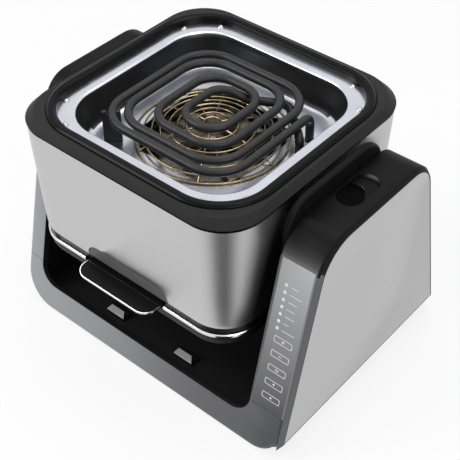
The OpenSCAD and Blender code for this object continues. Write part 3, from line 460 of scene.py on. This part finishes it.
def tube(points, r, seg=18, closed=False):
    pts = [Vector(p) for p in points]
    n = len(pts)
    tang = []
    for i in range(n):
        a = pts[i - 1] if (i or closed) else pts[0]
        b = pts[(i + 1) % n] if (i < n - 1 or closed) else pts[-1]
        tang.append((b - a).normalized())
    ref = Vector((0, 0, 1)) if abs(tang[0].z) < 0.9 else Vector((1, 0, 0))
    u = tang[0].cross(ref).normalized()
    rings = []
    for i in range(n):
        if i:
            u = tang[i - 1].rotation_difference(tang[i]) @ u
            u = (u - tang[i] * u.dot(tang[i])).normalized()
        w = tang[i].cross(u)
        rings.append([tuple(pts[i] + u * a + w * b) for a, b in circle(0, 0, r, seg)])
    return loft(rings, closed=closed, caps=(not closed, not closed))


def fillet(points, radii, n):
    """Polyline with circular bends at its inner points."""
    P = [Vector(p) for p in points]
    out = [P[0]]
    for i in range(1, len(P) - 1):
        a, b = (P[i - 1] - P[i]).normalized(), (P[i + 1] - P[i]).normalized()
        half = a.angle(b) / 2
        r = radii[i]
        c = P[i] + (a + b).normalized() * (r / math.sin(half))
        s = P[i] + a * (r / math.tan(half)) - c
        e = P[i] + b * (r / math.tan(half)) - c
        axis = s.cross(e).normalized()
        total = s.angle(e)
        for j in range(n + 1):
            out.append(c + Matrix.Rotation(total * j / n, 3, axis) @ s)
    out.append(P[-1])
    return [tuple(p) for p in out]


def join_parts(parts):
    verts, faces = [], []
    for v, f in parts:
        o = len(verts)
        verts += list(v)
        faces += [tuple(i + o for i in q) for q in f]
    return verts, faces


# Square rings round the head, from profiles of (half width, corner radius, height)

def ring(half, r, z, n=14):
    return [at_head(x, y, z) for x, y in corner_square(half, half, r, n)]


def ring_circle(rad, z, n, half=95.0, r=40.0):
    """Circle with its points in the directions of a square ring's."""
    turns = (math.atan2(y, x) for x, y in corner_square(half, half, r, n))
    return [at_head(rad * math.cos(a), rad * math.sin(a), z) for a in turns]


def soften(profile, radii, n=5):
    """Rounds the corners of a closed profile."""
    out = []
    for i, (p, rad) in enumerate(zip(profile, radii)):
        a, b = profile[i - 1], profile[(i + 1) % len(profile)]
        va, vb = Vector((a[0] - p[0], a[2] - p[2])), Vector((b[0] - p[0], b[2] - p[2]))
        la, lb = va.length, vb.length
        if rad <= 0:
            out.append(p)
            continue
        t = min(rad / math.tan(va.angle(vb) / 2), 0.45 * la, 0.45 * lb)
        s, e = va.normalized() * t, vb.normalized() * t
        for j in range(n + 1):
            f = j / n
            q = s * (1 - f) ** 2 + e * f ** 2
            w = ((1 - f) ** 2 * t / la, f ** 2 * t / lb)
            rr = p[1] + (a[1] - p[1]) * w[0] + (b[1] - p[1]) * w[1]
            out.append((p[0] + q.x, rr, p[2] + q.y))
    return out


def square_ring(name, profile, node, radii=None, corner=16):
    prof = soften(profile, radii) if radii else profile
    return piece(name, *loft([ring(u, r, z, corner) for u, r, z in prof], closed=True), node)


# Camera, at the photo's angle
cam_data = bpy.data.cameras.new("camera")
cam = add("camera", cam_data)
cam_right = Vector((0.76464686, 0.64444951, 0.0))
cam_up = Vector((-0.43493689, 0.51605769, 0.73791217))
cam_back = Vector((0.47554714, -0.56424222, 0.67489675))
cam_place = Vector((0.526375, -0.610862, 0.849077))
cam.matrix_world = Matrix.Translation(cam_place) @ Matrix((cam_right, cam_up, cam_back)).transposed().to_4x4()
cam_data.sensor_fit = "HORIZONTAL"
cam_data.sensor_width = 36.0
cam_data.lens = 82.9
cam_data.clip_end = 50.0
scene.camera = cam

# Head: collar, gasket and band
square_ring("collar_dressed", [
    (112.8, 45, 255), (133.5, 44, 255), (133.5, 44, 257.2), (137.5, 44.5, 257.2), (137.5, 44.5, 258.2),
    (131.8, 45, 265.0), (128.3, 60.3, 265.0), (128.3, 60.3, 258), (112.8, 45, 258)], "collar",
    [0, 0, 0, 0.4, 1.4, 1.4, 0.5, 0, 0], corner=22)
square_ring("gasket_dressed", [
    (118, 50, PAN_TOP), (128, 60, PAN_TOP), (128, 60, 266.0), (125.2, 57.2, 267.6), (120.6, 52.6, 267.2),
    (118, 50, 265.4)], "gasket", [0.3, 0.3, 2.2, 1.8, 1.4, 1.6], corner=22)
band = square_ring("band_dressed", [
    (136.7, 43.7, 254.6), (135.7, 42.4, 231), (134.3, 40.9, 201), (132.7, 39.4, 166), (131.1, 38.6, 133.2),
    (130.3, 38.2, 130.2), (129.7, 37.8, BAND_FOOT), (126.7, 36.8, BAND_FOOT), (126.7, 36.8, 131.5),
    (129.2, 37.4, 131.5), (135.2, 42.2, 254.6)], "band", corner=24)

# Finger recess in the band's foot, with its insert
recess_run = RECESS_HALF - RECESS_R
recess = (arc(RECESS_X + recess_run, RECESS_Z, RECESS_R, 0, 90, 10)
          + arc(RECESS_X - recess_run, RECESS_Z, RECESS_R, 90, 90, 10))
recess_cut = recess + [(RECESS_X - RECESS_HALF, BAND_FOOT - 13), (RECESS_X + RECESS_HALF, BAND_FOOT - 13)]
cut(band, *prism(recess_cut, -150, -124, on_head_front))
for s in (-1, 1):
    hole_x = HEAD_X + s * AXLE_HOLE_X
    cut(band, *prism(circle(HEAD_Y, PIVOT_Z, AXLE_HOLE_R, 48), hole_x - 8, hole_x + 8, sideways))
insert = [(RECESS_X + (x - RECESS_X) * 0.996, z - 0.1) for x, z in recess]
insert += [(RECESS_X + s * (RECESS_HALF - 0.2), BAND_FOOT + 0.05) for s in (-1, 1)]
piece("finger_recess_dressed", *prism(insert, -130.6, -126.45, on_head_front), "finger_recess", edges=0.4)

# Reflector pan, with the wide flange, a rolled edge and a shallow bowl whose walls are painted dark: a painted dark
# reflection
pan_in = [(127.4, 59.4, PAN_TOP), (106.2, 45.6, PAN_TOP), (104.8, 44.6, 258.9), (104.0, 44, 258.0),
          (103.4, 44, 252.0), (102.4, 44, 244.0), (101.4, 44, 237.0), (100.2, 43.4, 232.0), (98.2, 42.4, 228.0),
          (95.4, 41, 225.6), (92.0, 40, 224.4), (88.0, 40, PAN_DECK)]
pan_fan = [(74.5, PAN_DECK), (72.0, 223.9), (72.0, 223.0)]
pan_out = [(87.0, 40, 223.0), (93.0, 40, 223.1), (96.6, 41.6, 224.6), (99.4, 43.2, 227.4), (101.6, 44.6, 232.0),
           (102.6, 45.2, 237.0), (104.6, 45.2, 252.0), (105.2, 45.2, PAN_BACK), (127.4, 59.4, PAN_BACK)]
pan_rings = [ring(u, r, z, 16) for u, r, z in pan_in]
pan_rings += [ring_circle(rad, z, 16) for rad, z in pan_fan]
pan_rings += [ring(u, r, z, 16) for u, r, z in pan_out]
pan = piece("pan_dressed", *loft(pan_rings, closed=True), "reflector_pan", sharp=50,
            mats=[MATS["pan_bright"], PAN_WALL_PAINTED_REFLECTION])


def on_pan_wall_painted_dark(c, normal):
    inward = normal.x * (c.x - HEAD_X) + normal.y * (c.y - HEAD_Y) < 0
    return inward and abs(normal.z) < 0.8 and PAN_DECK + 1.3 < c.z < PAN_BACK - 0.1


# Painted dark reflection on the bowl's inner walls.
paint(pan, on_pan_wall_painted_dark)

# Clips on the flange, two to a side
CLIP = [(0.01, 0), (3.2, 0), (3.2, 0.7), (2.9, 1.0), (2.2, 1.1), (1.9, 1.8), (1.4, 2.1), (0.01, 2.15)]
clips = []
for side in range(4):
    c, sn = math.cos(math.radians(90 * side)), math.sin(math.radians(90 * side))
    for x in (-CLIP_X, CLIP_X):
        clips.append(lathe([(r, PAN_TOP + z) for r, z in CLIP],
                           HEAD_X + x * c - CLIP_Y * sn, HEAD_Y + x * sn + CLIP_Y * c, 24, False))
piece("pan_clips_dressed", *join_parts(clips), "pan_clips")

# Heating element: one tube, up a leg, round its turns, under them and down the other leg.
# Each corner of the turns has its bend radius.
corners = [
    (79, -79, 35), (-76, -79, 36), (-76, 75, 36), (66, 75, 38),
    (66, -67.5, 34), (-65, -67.5, 34), (-65, 63.5, 34), (48.5, 63.5, 32),
    (48.5, -49, 28), (-40, -49, 28), (-40, 46, 27), (29, 46, 26),
    (29, -30, 22), (-19, -30, 22), (-19, 25, 15)]
cross_z = COIL_Z - CROSS_DROP
coil = [(*LEGS[0], LEG_FOOT), (*LEGS[0], COIL_Z)] + [(x, y, COIL_Z) for x, y, r in corners]
coil += [(-4, 33, COIL_Z), (9, 42, cross_z), (44, 62, cross_z), (*LEGS[1], cross_z), (*LEGS[1], LEG_FOOT)]
coil_bends = [0, 10] + [r for x, y, r in corners] + [6, 6, 14, 9, 0]
piece("element_dressed", *tube([at_head(*p) for p in fillet(coil, coil_bends, 14)], TUBE_R, 20), "heating_element",
      sharp=60)


# Saddle under the element's front left corner, and the ceramic sleeves of its legs
def across_corner(a, b, c):
    q = math.sqrt(0.5)
    return at_head(SADDLE_AT + q * (a - c), SADDLE_AT + q * (a + c), b)


saddle_r = TUBE_R + 0.2
saddle = [(-SADDLE_HALF, PAN_DECK), (SADDLE_HALF, PAN_DECK), (SADDLE_HALF, SADDLE_TOP), (saddle_r + 0.1, SADDLE_TOP)]
saddle += arc(0, COIL_Z, saddle_r, 0, -180, 12) + [(-saddle_r - 0.1, SADDLE_TOP), (-SADDLE_HALF, SADDLE_TOP)]
piece("saddle_dressed", *prism(saddle, -SADDLE_T, SADDLE_T, across_corner), "element_support", edges=0.5)
SLEEVE = [(4.4, 220), (5.5, 220), (5.5, PAN_DECK), (7.2, PAN_DECK), (7.5, 224.6), (7.5, 226.2), (6.9, 226.8),
          (4.4, 226.8)]
piece("sleeves_dressed", *join_parts([lathe(SLEEVE, HEAD_X + x, HEAD_Y + y, 32) for x, y in LEGS]), "element_bushes")

# Domed wire guard
DOME_R = (GUARD_R ** 2 + GUARD_H ** 2) / (2 * GUARD_H)
DOME_Z = PAN_DECK + WIRE_R + 0.05 + GUARD_H - DOME_R


def dome(r):
    return DOME_Z + math.sqrt(DOME_R ** 2 - r ** 2)


wires = []
for i in range(1, GUARD_RINGS + 1):
    r = GUARD_R * i / GUARD_RINGS
    wires.append(tube([(x, y, dome(r)) for x, y in circle(HEAD_X, HEAD_Y, r, 96)], WIRE_R, 8, closed=True))
spoke_in = GUARD_R / GUARD_RINGS
for s in range(GUARD_SPOKES):
    a = math.radians(360 * s / GUARD_SPOKES)
    reach = [spoke_in + (GUARD_R - spoke_in) * j / 12 for j in range(13)]
    wires.append(tube([at_head(r * math.cos(a), r * math.sin(a), dome(r) - SPOKE_R) for r in reach], SPOKE_R, 8))
piece("guard_dressed", *join_parts(wires), "fan_guard", sharp=80)

# Fan and its well
piece("fan_well_dressed", *lathe([
    (6, 201), (71, 201), (74, 204), (74, 222), (78, 222), (78, 223), (73, 223), (73, 205), (70.5, 202), (6, 202)],
    HEAD_X, HEAD_Y, 96), "fan_well", mat=FAN_WELL_PAINTED_SHADE)


def blade(start):
    """A blade that sweeps round as it goes out, leans at its top and drops at its tip."""
    sections = []
    for j in range(9):
        a = start + math.radians(BLADE_SWEEP) * j / 8
        r = BLADE_IN + BLADE_L * j / 8
        tip = FAN_TOP - 0.8 * max(0, j - 6)
        sections.append([at_head(r * math.cos(a) - t * math.sin(a), r * math.sin(a) + t * math.cos(a), z) for t, z in (
            (-BLADE_T, FAN_Z + 0.2), (BLADE_T, FAN_Z + 0.2), (BLADE_LEAN + BLADE_T, tip), (BLADE_LEAN - BLADE_T, tip))])
    return loft(sections, caps=(True, True))


hub = lathe([(3.02, FAN_Z), (12, FAN_Z), (12, 218.6), (11.2, 219.4), (8, FAN_TOP), (3.02, FAN_TOP)], HEAD_X, HEAD_Y, 48)
disc = lathe([(11, FAN_Z), (55.4, FAN_Z), (56, FAN_Z + 0.6), (55.4, FAN_Z + 1.2), (11, FAN_Z + 1.2)],
             HEAD_X, HEAD_Y, 96)
blades = [blade(math.radians(360 * k / FAN_BLADES)) for k in range(FAN_BLADES)]
piece("fan_dressed", *join_parts([hub, disc] + blades), "fan", mat=FAN_STEEL_AND_PAINTED_SHADE, sharp=30)

# Bottom cover with its vents, and the trim over it, open behind the lip
cover = square_ring("cover_dressed", [
    (1.0, 0.9, COVER_Z), (121.6, 35.0, COVER_Z), (124.2, 35.6, 104.6), (128.4, 37.4, 107.4), (129.3, 38.0, 109.4),
    (129.3, 38.0, 117.4), (128.7, 37.8, TRIM_Z), (126.3, 37.3, TRIM_Z), (126.3, 37.3, 138), (123.3, 34.3, 138),
    (123.3, 34.3, 107), (1.0, 0.9, 107)], "bottom_cover", corner=18)
vents = [prism(stadium(HEAD_X + VENT_STEP * i, HEAD_Y, VENT_R, VENT_HALF, 10), COVER_Z - 3, COVER_Z + 6, upright)
         for i in range(-4, 5)]
cut(cover, *join_parts(vents), sharp=30)
trim = square_ring("trim_dressed", [
    (126.4, 37.4, TRIM_Z), (130.6, 38.2, TRIM_Z), (131.2, 38.5, 118.6), (131.2, 38.5, 121.2), (130.4, 37.9, TRIM_TOP),
    (126.4, 37.4, TRIM_TOP)], "lower_trim", corner=22)
cut(trim, *prism(rectangle(TRIM_GAP[0], -150, TRIM_GAP[1], -120), TRIM_Z - 6, TRIM_TOP + 5, at_head), sharp=30)


# Finger lip with its bright edge, and a bright line across it
def lip_outline(t, back):
    """The lip's edge, t outside, from back to back."""
    side = LIP_HALF - LIP_R
    return ([(LIP_HALF + t, back)] + arc(side, LIP_Y, LIP_R + t, 0, -90, 10)
            + arc(-side, LIP_Y, LIP_R + t, -90, -90, 10) + [(-LIP_HALF - t, back)])


piece("lip_dressed", *prism(lip_outline(0, LIP_ROOT), LIP_Z, LIP_TOP, at_head), "handle_lip", edges=0.7, segments=4)
lip_edge = prism(lip_outline(0.7, -134.0) + lip_outline(0.05, -134.0)[::-1], LIP_TOP - 1.8, LIP_TOP - 0.1, at_head)
lip_line = prism(rectangle(-47, -133.9, 46, -133.3), LIP_TOP - 0.2, LIP_TOP + 0.25, at_head)
piece("lip_trim_dressed", *join_parts([lip_edge, lip_line]), "lip_trim")


# Walls
def side_outline(front=0.0, rear=0.0, top=0.0, foot=WALL_FOOT, r2=CROWN_REAR, n=14):
    """A wall's (y, z) outline, drawn in at its front, rear and top; r2 is the rear radius of its crown."""
    z1 = WALL_TOP - top
    y0 = FRONT_Y + front / math.cos(LEAN)
    y1 = REAR_Y - rear / math.cos(LEAN)
    back = (z1 - BASE_Z) * math.tan(LEAN)
    sweep = LEAN_A - 90
    return ([(y0 + foot * math.tan(LEAN), BASE_Z + foot)]
            + arc(y0 + back + CROWN_R * CROWN_K, z1 - CROWN_R, CROWN_R, 180 - LEAN_A, sweep, n)
            + arc(y1 - back - r2 * CROWN_K, z1 - r2, r2, 90, sweep, n)
            + [(y1 - foot * math.tan(LEAN), BASE_Z + foot)])


def section(x, *args, **kw):
    return [(x, y, z) for y, z in side_outline(*args, **kw)]


def tuck(x):
    """Foot of the tower at x: drawn in along its outer edge."""
    return WALL_FOOT + max(0.0, x - RIGHT_OUT + TUCK_W) * (TUCK_H - WALL_FOOT) / TUCK_W


# Tower: inner edge, bevel, and the hollow for its side panel
tower_rings = [
    section(RIGHT_IN, 1.0, 1.0, 1.0), section(RIGHT_IN + 0.3, 0.3, 0.3, 0.3), section(RIGHT_IN + 1.0),
    section(RIGHT_OUT - TUCK_W), section(BEVEL_X - 0.4, foot=tuck(BEVEL_X - 0.4)),
    section(BEVEL_X, 0.1, 0.05, 0.1, tuck(BEVEL_X)), section(BEVEL_X + 0.3, 0.45, 0.1, 0.35, tuck(BEVEL_X + 0.3)),
    section(RIGHT_OUT - 1.5, 3.3, 0.5, 2.4, tuck(RIGHT_OUT - 1.5)),
    section(RIGHT_OUT - 0.15, 6.7, 0.9, 4.7, tuck(RIGHT_OUT - 0.15)),
    section(RIGHT_OUT, 7.2, 1.2, 5.2, TUCK_H + 0.1), section(RIGHT_OUT, 8.2, 2.2, 6.2, TUCK_H + 0.6, INLAY_REAR),
    section(RIGHT_OUT - 1.3, 8.2, 2.2, 6.2, TUCK_H + 0.6, INLAY_REAR)]
tower = piece("tower_dressed", *loft(tower_rings, caps=(True, True)), "tower_shell",
              mats=[CROWN_PAINTED_SHEEN, MATS["bezel_silver"]])
cut(tower, *join_parts([
    prism(stadium(SLOT_X, SLOT_Y, SLOT_R, SLOT_RUN, 20), WALL_TOP - 4, WALL_TOP + 13, upright),
    prism(rectangle(RIGHT_IN - 3, -6, BEVEL_X + 0.05, KEYS_V), -BEZEL_T - 0.1, 4, on_front)]), sharp=24)


def on_front_bevel(c, normal):
    up = c.z - BASE_Z
    on_bevel = c.x > BEVEL_X + 0.05 and normal.y < -0.05 and normal.x > 0.15
    return on_bevel and up / math.cos(LEAN) < POST_L + 3 and c.y < FRONT_Y + up * math.tan(LEAN) + 9


paint(tower, on_front_bevel)
piece("side_panel_dressed", *loft([
    section(RIGHT_OUT - 1.2, 8.6, 2.6, 6.6, TUCK_H + 1.0, INLAY_REAR - 0.5),
    section(RIGHT_OUT - 0.25, 8.6, 2.6, 6.6, TUCK_H + 1.0, INLAY_REAR - 0.5),
    section(RIGHT_OUT, 8.9, 2.9, 6.9, TUCK_H + 1.3, INLAY_REAR - 0.8)], caps=(True, True)), "side_panel", sharp=40)

# Left wall, with its lower outer edge rounded
left_bevel_x = LEFT_OUT + BEVEL_W
wall = piece("left_wall_dressed", *loft([
    section(LEFT_IN, 7.0, 1.0, 1.0), section(LEFT_IN - 1.0, 6.2), section(left_bevel_x + 0.4, 6.2),
    section(left_bevel_x - 0.2, 6.4, 0.1, 0.4), section(LEFT_OUT + 0.2, 6.9, 0.9, 4.7),
    section(LEFT_OUT, 7.2, 1.2, 5.2, 4.0), section(LEFT_OUT, 8.2, 2.2, 6.2, 4.3, INLAY_REAR),
    section(LEFT_OUT + 1.3, 8.2, 2.2, 6.2, 4.3, INLAY_REAR)], caps=(True, True)), "left_wall")
edge = [(LEFT_OUT, 300)] + arc(LEFT_OUT + EDGE_R, BASE_Z + EDGE_R, EDGE_R, 180, 90, 24) + [(60, BASE_Z), (60, 300)]
cut(wall, *prism(edge, -200, 200, lengthways), mode="INTERSECT", sharp=24)
piece("left_panel_dressed", *prism(
    side_outline(8.5, 2.5, 6.5, EDGE_R, INLAY_REAR - 0.5), LEFT_OUT, LEFT_OUT + 1.2, sideways), "left_panel",
    edges=0.3, segments=2)

# Pivot housings on the walls' inner faces
housing_z = WALL_TOP + HOUSING_RISE - HOUSING_H / 2
housing = [(HEAD_Y + y, housing_z + z) for y, z in corner_square(HOUSING_L / 2, HOUSING_H / 2, HOUSING_R)]
piece("left_housing", *prism(housing, LEFT_OUT + 1.4, LEFT_IN, sideways), "left_wall", edges=3.0, segments=5)
piece("right_housing_dressed", *prism(housing, RIGHT_IN - 7.5, RIGHT_IN - 0.02, sideways), "right_housing",
      edges=2.6, segments=5)


# Front bezel: a bar with round corners, a post and a strip, chamfered along its outer edge
def rim(t):
    """The bar's outer edge, drawn in by t, from the left post's seam to the control panel."""
    cv = EDGE_R / math.cos(LEAN)
    return ([(LEFT_OUT + t, SEAM_V)] + arc(LEFT_OUT + EDGE_R, cv, EDGE_R - t, 180, 90, 18, cv - BAR_V - t)
            + arc(BEVEL_X - CORNER_R, BAR_V + CORNER_R, CORNER_R - t, 270, 90, 16) + [(BEVEL_X - t, KEYS_V - KEYS_GAP)])


def opening(t):
    """The rest of the bar's edge: under the panel, and round the well's opening."""
    top = BAR_H + BEZEL_R
    return ([(RIGHT_IN + t, KEYS_V - KEYS_GAP)] + arc(RIGHT_IN - BEZEL_R, top, BEZEL_R + t, 0, -90, 14)
            + arc(LEFT_IN + BEZEL_R, top, BEZEL_R + t, 270, -90, 14) + [(LEFT_IN - t, SEAM_V)])


def post_edge(a, b):
    low = SEAM_V + SEAM_W
    return [(LEFT_OUT + a, POST_L), (LEFT_OUT + a, low), (LEFT_IN - b, low), (LEFT_IN - b, POST_L)]


# Faces of the bar's inner edge round the well's opening, which are painted near black.
def on_inner_edge(c, normal):
    depth = (c.y - FRONT_Y) * math.cos(LEAN) - (c.z - BASE_Z) * math.sin(LEAN)
    return depth > 0.6 and LEFT_IN - 1 < c.x < RIGHT_IN + 1 and c.z > BASE_Z + BAR_H - 4


# Heights of the bezel's rings, with how far its outer and inner edge are drawn in there
BEZEL_RINGS = [(-BEZEL_T, 0, 0), (-1.9, 0, 0), (-1.7, 0.1, 0), (-0.7, 1.9, 0), (-0.25, 2.5, 0.15), (0, 2.8, 0.7)]
for name, outline in (("bezel_bar", lambda a, b: rim(a) + opening(b)), ("bezel_post", post_edge)):
    rings = [[on_front(x, v, w) for x, v in outline(a, b)] for w, a, b in BEZEL_RINGS]
    paint(piece(name, *loft(rings, caps=(True, True)), "front_bezel", sharp=28, mats=[MATS["bezel_silver"], NEAR_BLACK]),
          on_inner_edge)


def facing(x0, x1, v0, v1, edge_w, lo, hi):
    """Thin plate on the front, carried round the crown, with a small chamfer."""
    vs = [v0, POST_L] + [POST_L + (v1 - POST_L) * k / 5 for k in range(1, 6)]
    rings = []
    for w, t in ((lo, 0), (hi - edge_w, 0), (hi, edge_w)):
        us = [v0 + t] + vs[1:-1] + [v1 - t]
        rings.append([on_crown(x0 + t, v, w) for v in us] + [on_crown(x1 - t, v, w) for v in us[::-1]])
    v, f = loft(rings, caps=(True, False))
    n = len(rings[0])
    o = 2 * n
    f += [(o + k, o + k + 1, o + n - 2 - k, o + n - 1 - k) for k in range(len(vs) - 1)]
    return v, f


keys_top = KEYS_V + KEYS_L
piece("bezel_strip", *facing(RIGHT_IN, RIGHT_IN + STRIP_W, KEYS_V - KEYS_GAP, keys_top, 0.6, -2.0, 0.35),
      "front_bezel", sharp=28)
piece("panel_dressed", *facing(KEYS_X - KEYS_W / 2 + 0.3, KEYS_X + KEYS_W / 2, KEYS_V + 0.2, keys_top, 0.2, -1.5, 0.15),
      "control_panel", sharp=28)


# Marks of the control panel
def frame_mark(cx, cv, w, h, t, r=1.2):
    outer = [(cx + x, cv + y) for x, y in corner_square(w / 2, h / 2, r, 5)]
    inner = [(cx + x, cv + y) for x, y in corner_square(w / 2 - t, h / 2 - t, r - t * 0.6, 5)]
    return loft([[on_front(x, v, k) for x, v in o] for o, k in (
        (outer, MARK_LO), (outer, MARK_HI), (inner, MARK_HI), (inner, MARK_LO))], closed=True)


def bar_mark(cx, cv, w, h):
    return prism(rectangle(cx - w / 2, cv - h / 2, cx + w / 2, cv + h / 2), MARK_LO, MARK_HI, on_front)


def dot_mark(cx, cv, r, rv):
    return prism(circle(cx, cv, r, 16, rv), MARK_LO, MARK_HI, on_front)


# Five framed keys: plus, minus, a small frame and two dots
key_x = KEYS_X + 1.5
key_v = [KEY_TOP - KEY_STEP * i for i in range(5)]
marks = [frame_mark(key_x, v, 20.2, 7.0, 0.55) for v in key_v]
marks += [bar_mark(key_x, key_v[0], 3.2, 0.7), bar_mark(key_x, key_v[0] + 0.98, 0.7, 1.25),
          bar_mark(key_x, key_v[0] - 0.98, 0.7, 1.25), bar_mark(key_x, key_v[1], 3.0, 0.7),
          frame_mark(key_x, key_v[2], 3.4, 2.6, 0.5, 0.7)]
marks += [dot_mark(key_x, v, 1.1, 1.1) for v in key_v[3:]]
# Above them a list, each line a dot and a bar of its own length
for i, run in enumerate((8.4, 13.0, 9.8, 8.8, 10.6, 5.9, 13.8)):
    v = LIST_TOP - LIST_STEP * i
    marks += [dot_mark(KEYS_X - 7.8, v, 1.7, 1.87), bar_mark(KEYS_X - 2.6 + run / 2, v - 0.1, run, 0.6)]
piece("panel_marks", *join_parts(marks), "control_panel", mat=MARK)

# Flip lock knob: a disc with a flat front, a hollow and a raised rear edge, which carries a painted highlight
knob = piece("knob_dressed", *lathe([
    (0.01, 235.3), (KNOB_R, 235.3), (KNOB_R, 244.6), (11.9, 245.2), (11.3, 245.5), (0.01, 245.5)],
    SLOT_X, KNOB_Y, 72, False), "lock_knob")
scoop = [(KNOB_Y - 30, 238.3), (KNOB_Y - 1.9, 238.3)] + arc(KNOB_Y, SCOOP_Z, SCOOP_R, -100, 112, 32)
scoop += [(KNOB_Y + 8.7, 270), (KNOB_Y - 30, 270)]
cut(knob, *prism(scoop, SLOT_X - 16, SLOT_X + 16, sideways), sharp=30)
knob.data.materials.clear()
knob.data.materials.append(KNOB_DARK)
knob.data.materials.append(KNOB_PAINTED_HIGHLIGHT)
# Painted highlight: the rear edge's faces that look right and back take the lighter, glossier black.
paint(knob, lambda c, normal: c.z > 240.5 and normal.x + normal.y > 0.35)
round_edges(knob, 0.7)

# Pot stops, with caps whose right end is slanted
stop_outline = [(HEAD_Y + y, z) for y, z in (
    (STOP_FRONT, FLOOR_Z), (STOP_REAR, FLOOR_Z), (STOP_REAR, STOP_TOP), (STOP_STEP, STOP_TOP), (STOP_STEP, STOP_LOW),
    (STOP_FRONT, STOP_LOW))]
stops, caps = [], []
for x in (-STOP_X, STOP_X):
    stops.append(prism(stop_outline, HEAD_X + x - STOP_HALF, HEAD_X + x + STOP_HALF, sideways))
    cap_rear = STOP_STEP - 0.1
    caps.append(prism([(x - STOP_HALF, STOP_FRONT), (x + STOP_HALF, STOP_FRONT), (x + STOP_HALF - CAP_SLANT, cap_rear),
                       (x - STOP_HALF, cap_rear)], STOP_LOW, STOP_TOP, at_head))
piece("stops_dressed", *join_parts(stops), "pot_stops", edges=0.4, segments=2)
piece("stop_caps_dressed", *join_parts(caps), "stop_caps", edges=0.3, segments=2)

# Base plate, behind the bezel's lower edge
plate = [(LEFT_OUT + EDGE_R, FRONT_Y + 7), (BEVEL_X - CORNER_R, FRONT_Y + 7), (RIGHT_OUT - TUCK_W, FRONT_Y + 12),
         (RIGHT_OUT - TUCK_W, REAR_Y - 0.5), (LEFT_OUT + EDGE_R, REAR_Y - 0.5)]
piece("base_plate_dressed", *prism(plate, BASE_Z, DECK_Z, upright), "base_plate", edges=0.8)


# Floor and light, in metres

def maths(nt, mode, a):
    n = nt.nodes.new("ShaderNodeMath")
    n.operation = mode
    nt.links.new(a, n.inputs[0])
    return n


def most(nt, a, b):
    n = maths(nt, "MAXIMUM", a)
    nt.links.new(b, n.inputs[1])
    return n.outputs[0]


def stage_sheet(name, mat, corners):
    me = bpy.data.meshes.new(name)
    me.from_pydata(corners, [], [tuple(range(len(corners)))])
    me.materials.append(mat)
    ob = add(name, me)
    return ob


def area(name, loc, target, size, power):
    d = bpy.data.lights.new(name, "AREA")
    d.shape = "RECTANGLE"
    d.size, d.size_y = size
    d.energy = power
    o = add(name, d)
    o.location = loc
    o.rotation_euler = (Vector(target) - Vector(loc)).to_track_quat("-Z", "Y").to_euler()


# The floor shows mostly white to the camera and to reflections, and keeps some of the object's shadow
floor_mat, nt, b = new_mat("floor_pale")
nt.links.new(ramp(nt, noise(nt, (3.0,) * 3), [(0.0, 0.86), (1.0, 0.9)]), b.inputs["Base Color"])
b.inputs["Roughness"].default_value = 0.6
b.inputs["Specular IOR Level"].default_value = 0.1
path = nt.nodes.new("ShaderNodeLightPath")
glow = nt.nodes.new("ShaderNodeEmission")
glow.inputs["Strength"].default_value = 1.0
share = maths(nt, "MULTIPLY", most(nt, path.outputs["Is Camera Ray"], path.outputs["Is Glossy Ray"]))
share.inputs[1].default_value = 0.82
mix = nt.nodes.new("ShaderNodeMixShader")
nt.links.new(share.outputs[0], mix.inputs["Fac"])
nt.links.new(b.outputs["BSDF"], mix.inputs[1])
nt.links.new(glow.outputs["Emission"], mix.inputs[2])
nt.links.new(mix.outputs["Shader"], nt.nodes["Material Output"].inputs["Surface"])
stage_sheet("floor", floor_mat, [(-4, -4, 0), (4, -4, 0), (4, 4, 0), (-4, 4, 0)])

# Dark card in front of the head's corner, that only reflections see
card_mat, nt, b = new_mat("card_dark")
nt.links.new(ramp(nt, noise(nt, (5.0,) * 3), [(0.0, 0.012), (1.0, 0.018)]), b.inputs["Base Color"])
b.inputs["Roughness"].default_value = 0.9
b.inputs["Specular IOR Level"].default_value = 0.0
card = stage_sheet("card", card_mat, [
    (0.114, -0.168, 0.0005), (0.235, -0.81, 0.0005), (0.749, -0.372, 0.0005), (0.151, -0.137, 0.0005)])
card.visible_camera = False
card.visible_diffuse = False
card.visible_shadow = False
card.visible_transmission = False

# The world is white to the camera and to reflections, and lights the object with less
world = bpy.data.worlds.new("studio")
scene.world = world
world.use_nodes = True
wt = world.node_tree
sky = wt.nodes["Background"]
sky.inputs["Color"].default_value = (1, 1, 1, 1)
path = wt.nodes.new("ShaderNodeLightPath")
seen = most(wt, path.outputs["Is Camera Ray"], path.outputs["Is Glossy Ray"])
strength = wt.nodes.new("ShaderNodeMapRange")
strength.inputs["To Min"].default_value = 0.42
strength.inputs["To Max"].default_value = 1.0
wt.links.new(most(wt, seen, path.outputs["Is Transmission Ray"]), strength.inputs["Value"])
wt.links.new(strength.outputs["Result"], sky.inputs["Strength"])

area("key", (-1.3, -1.2, 1.7), (0, 0, 0.15), (1.2, 1.2), 26)
area("fill", (1.6, -0.6, 1.2), (0, 0, 0.15), (1.0, 1.4), 12)
area("top", (0.0, 0.5, 2.0), (0, 0, 0.2), (1.4, 1.0), 14)

scene.view_settings.view_transform = "Standard"
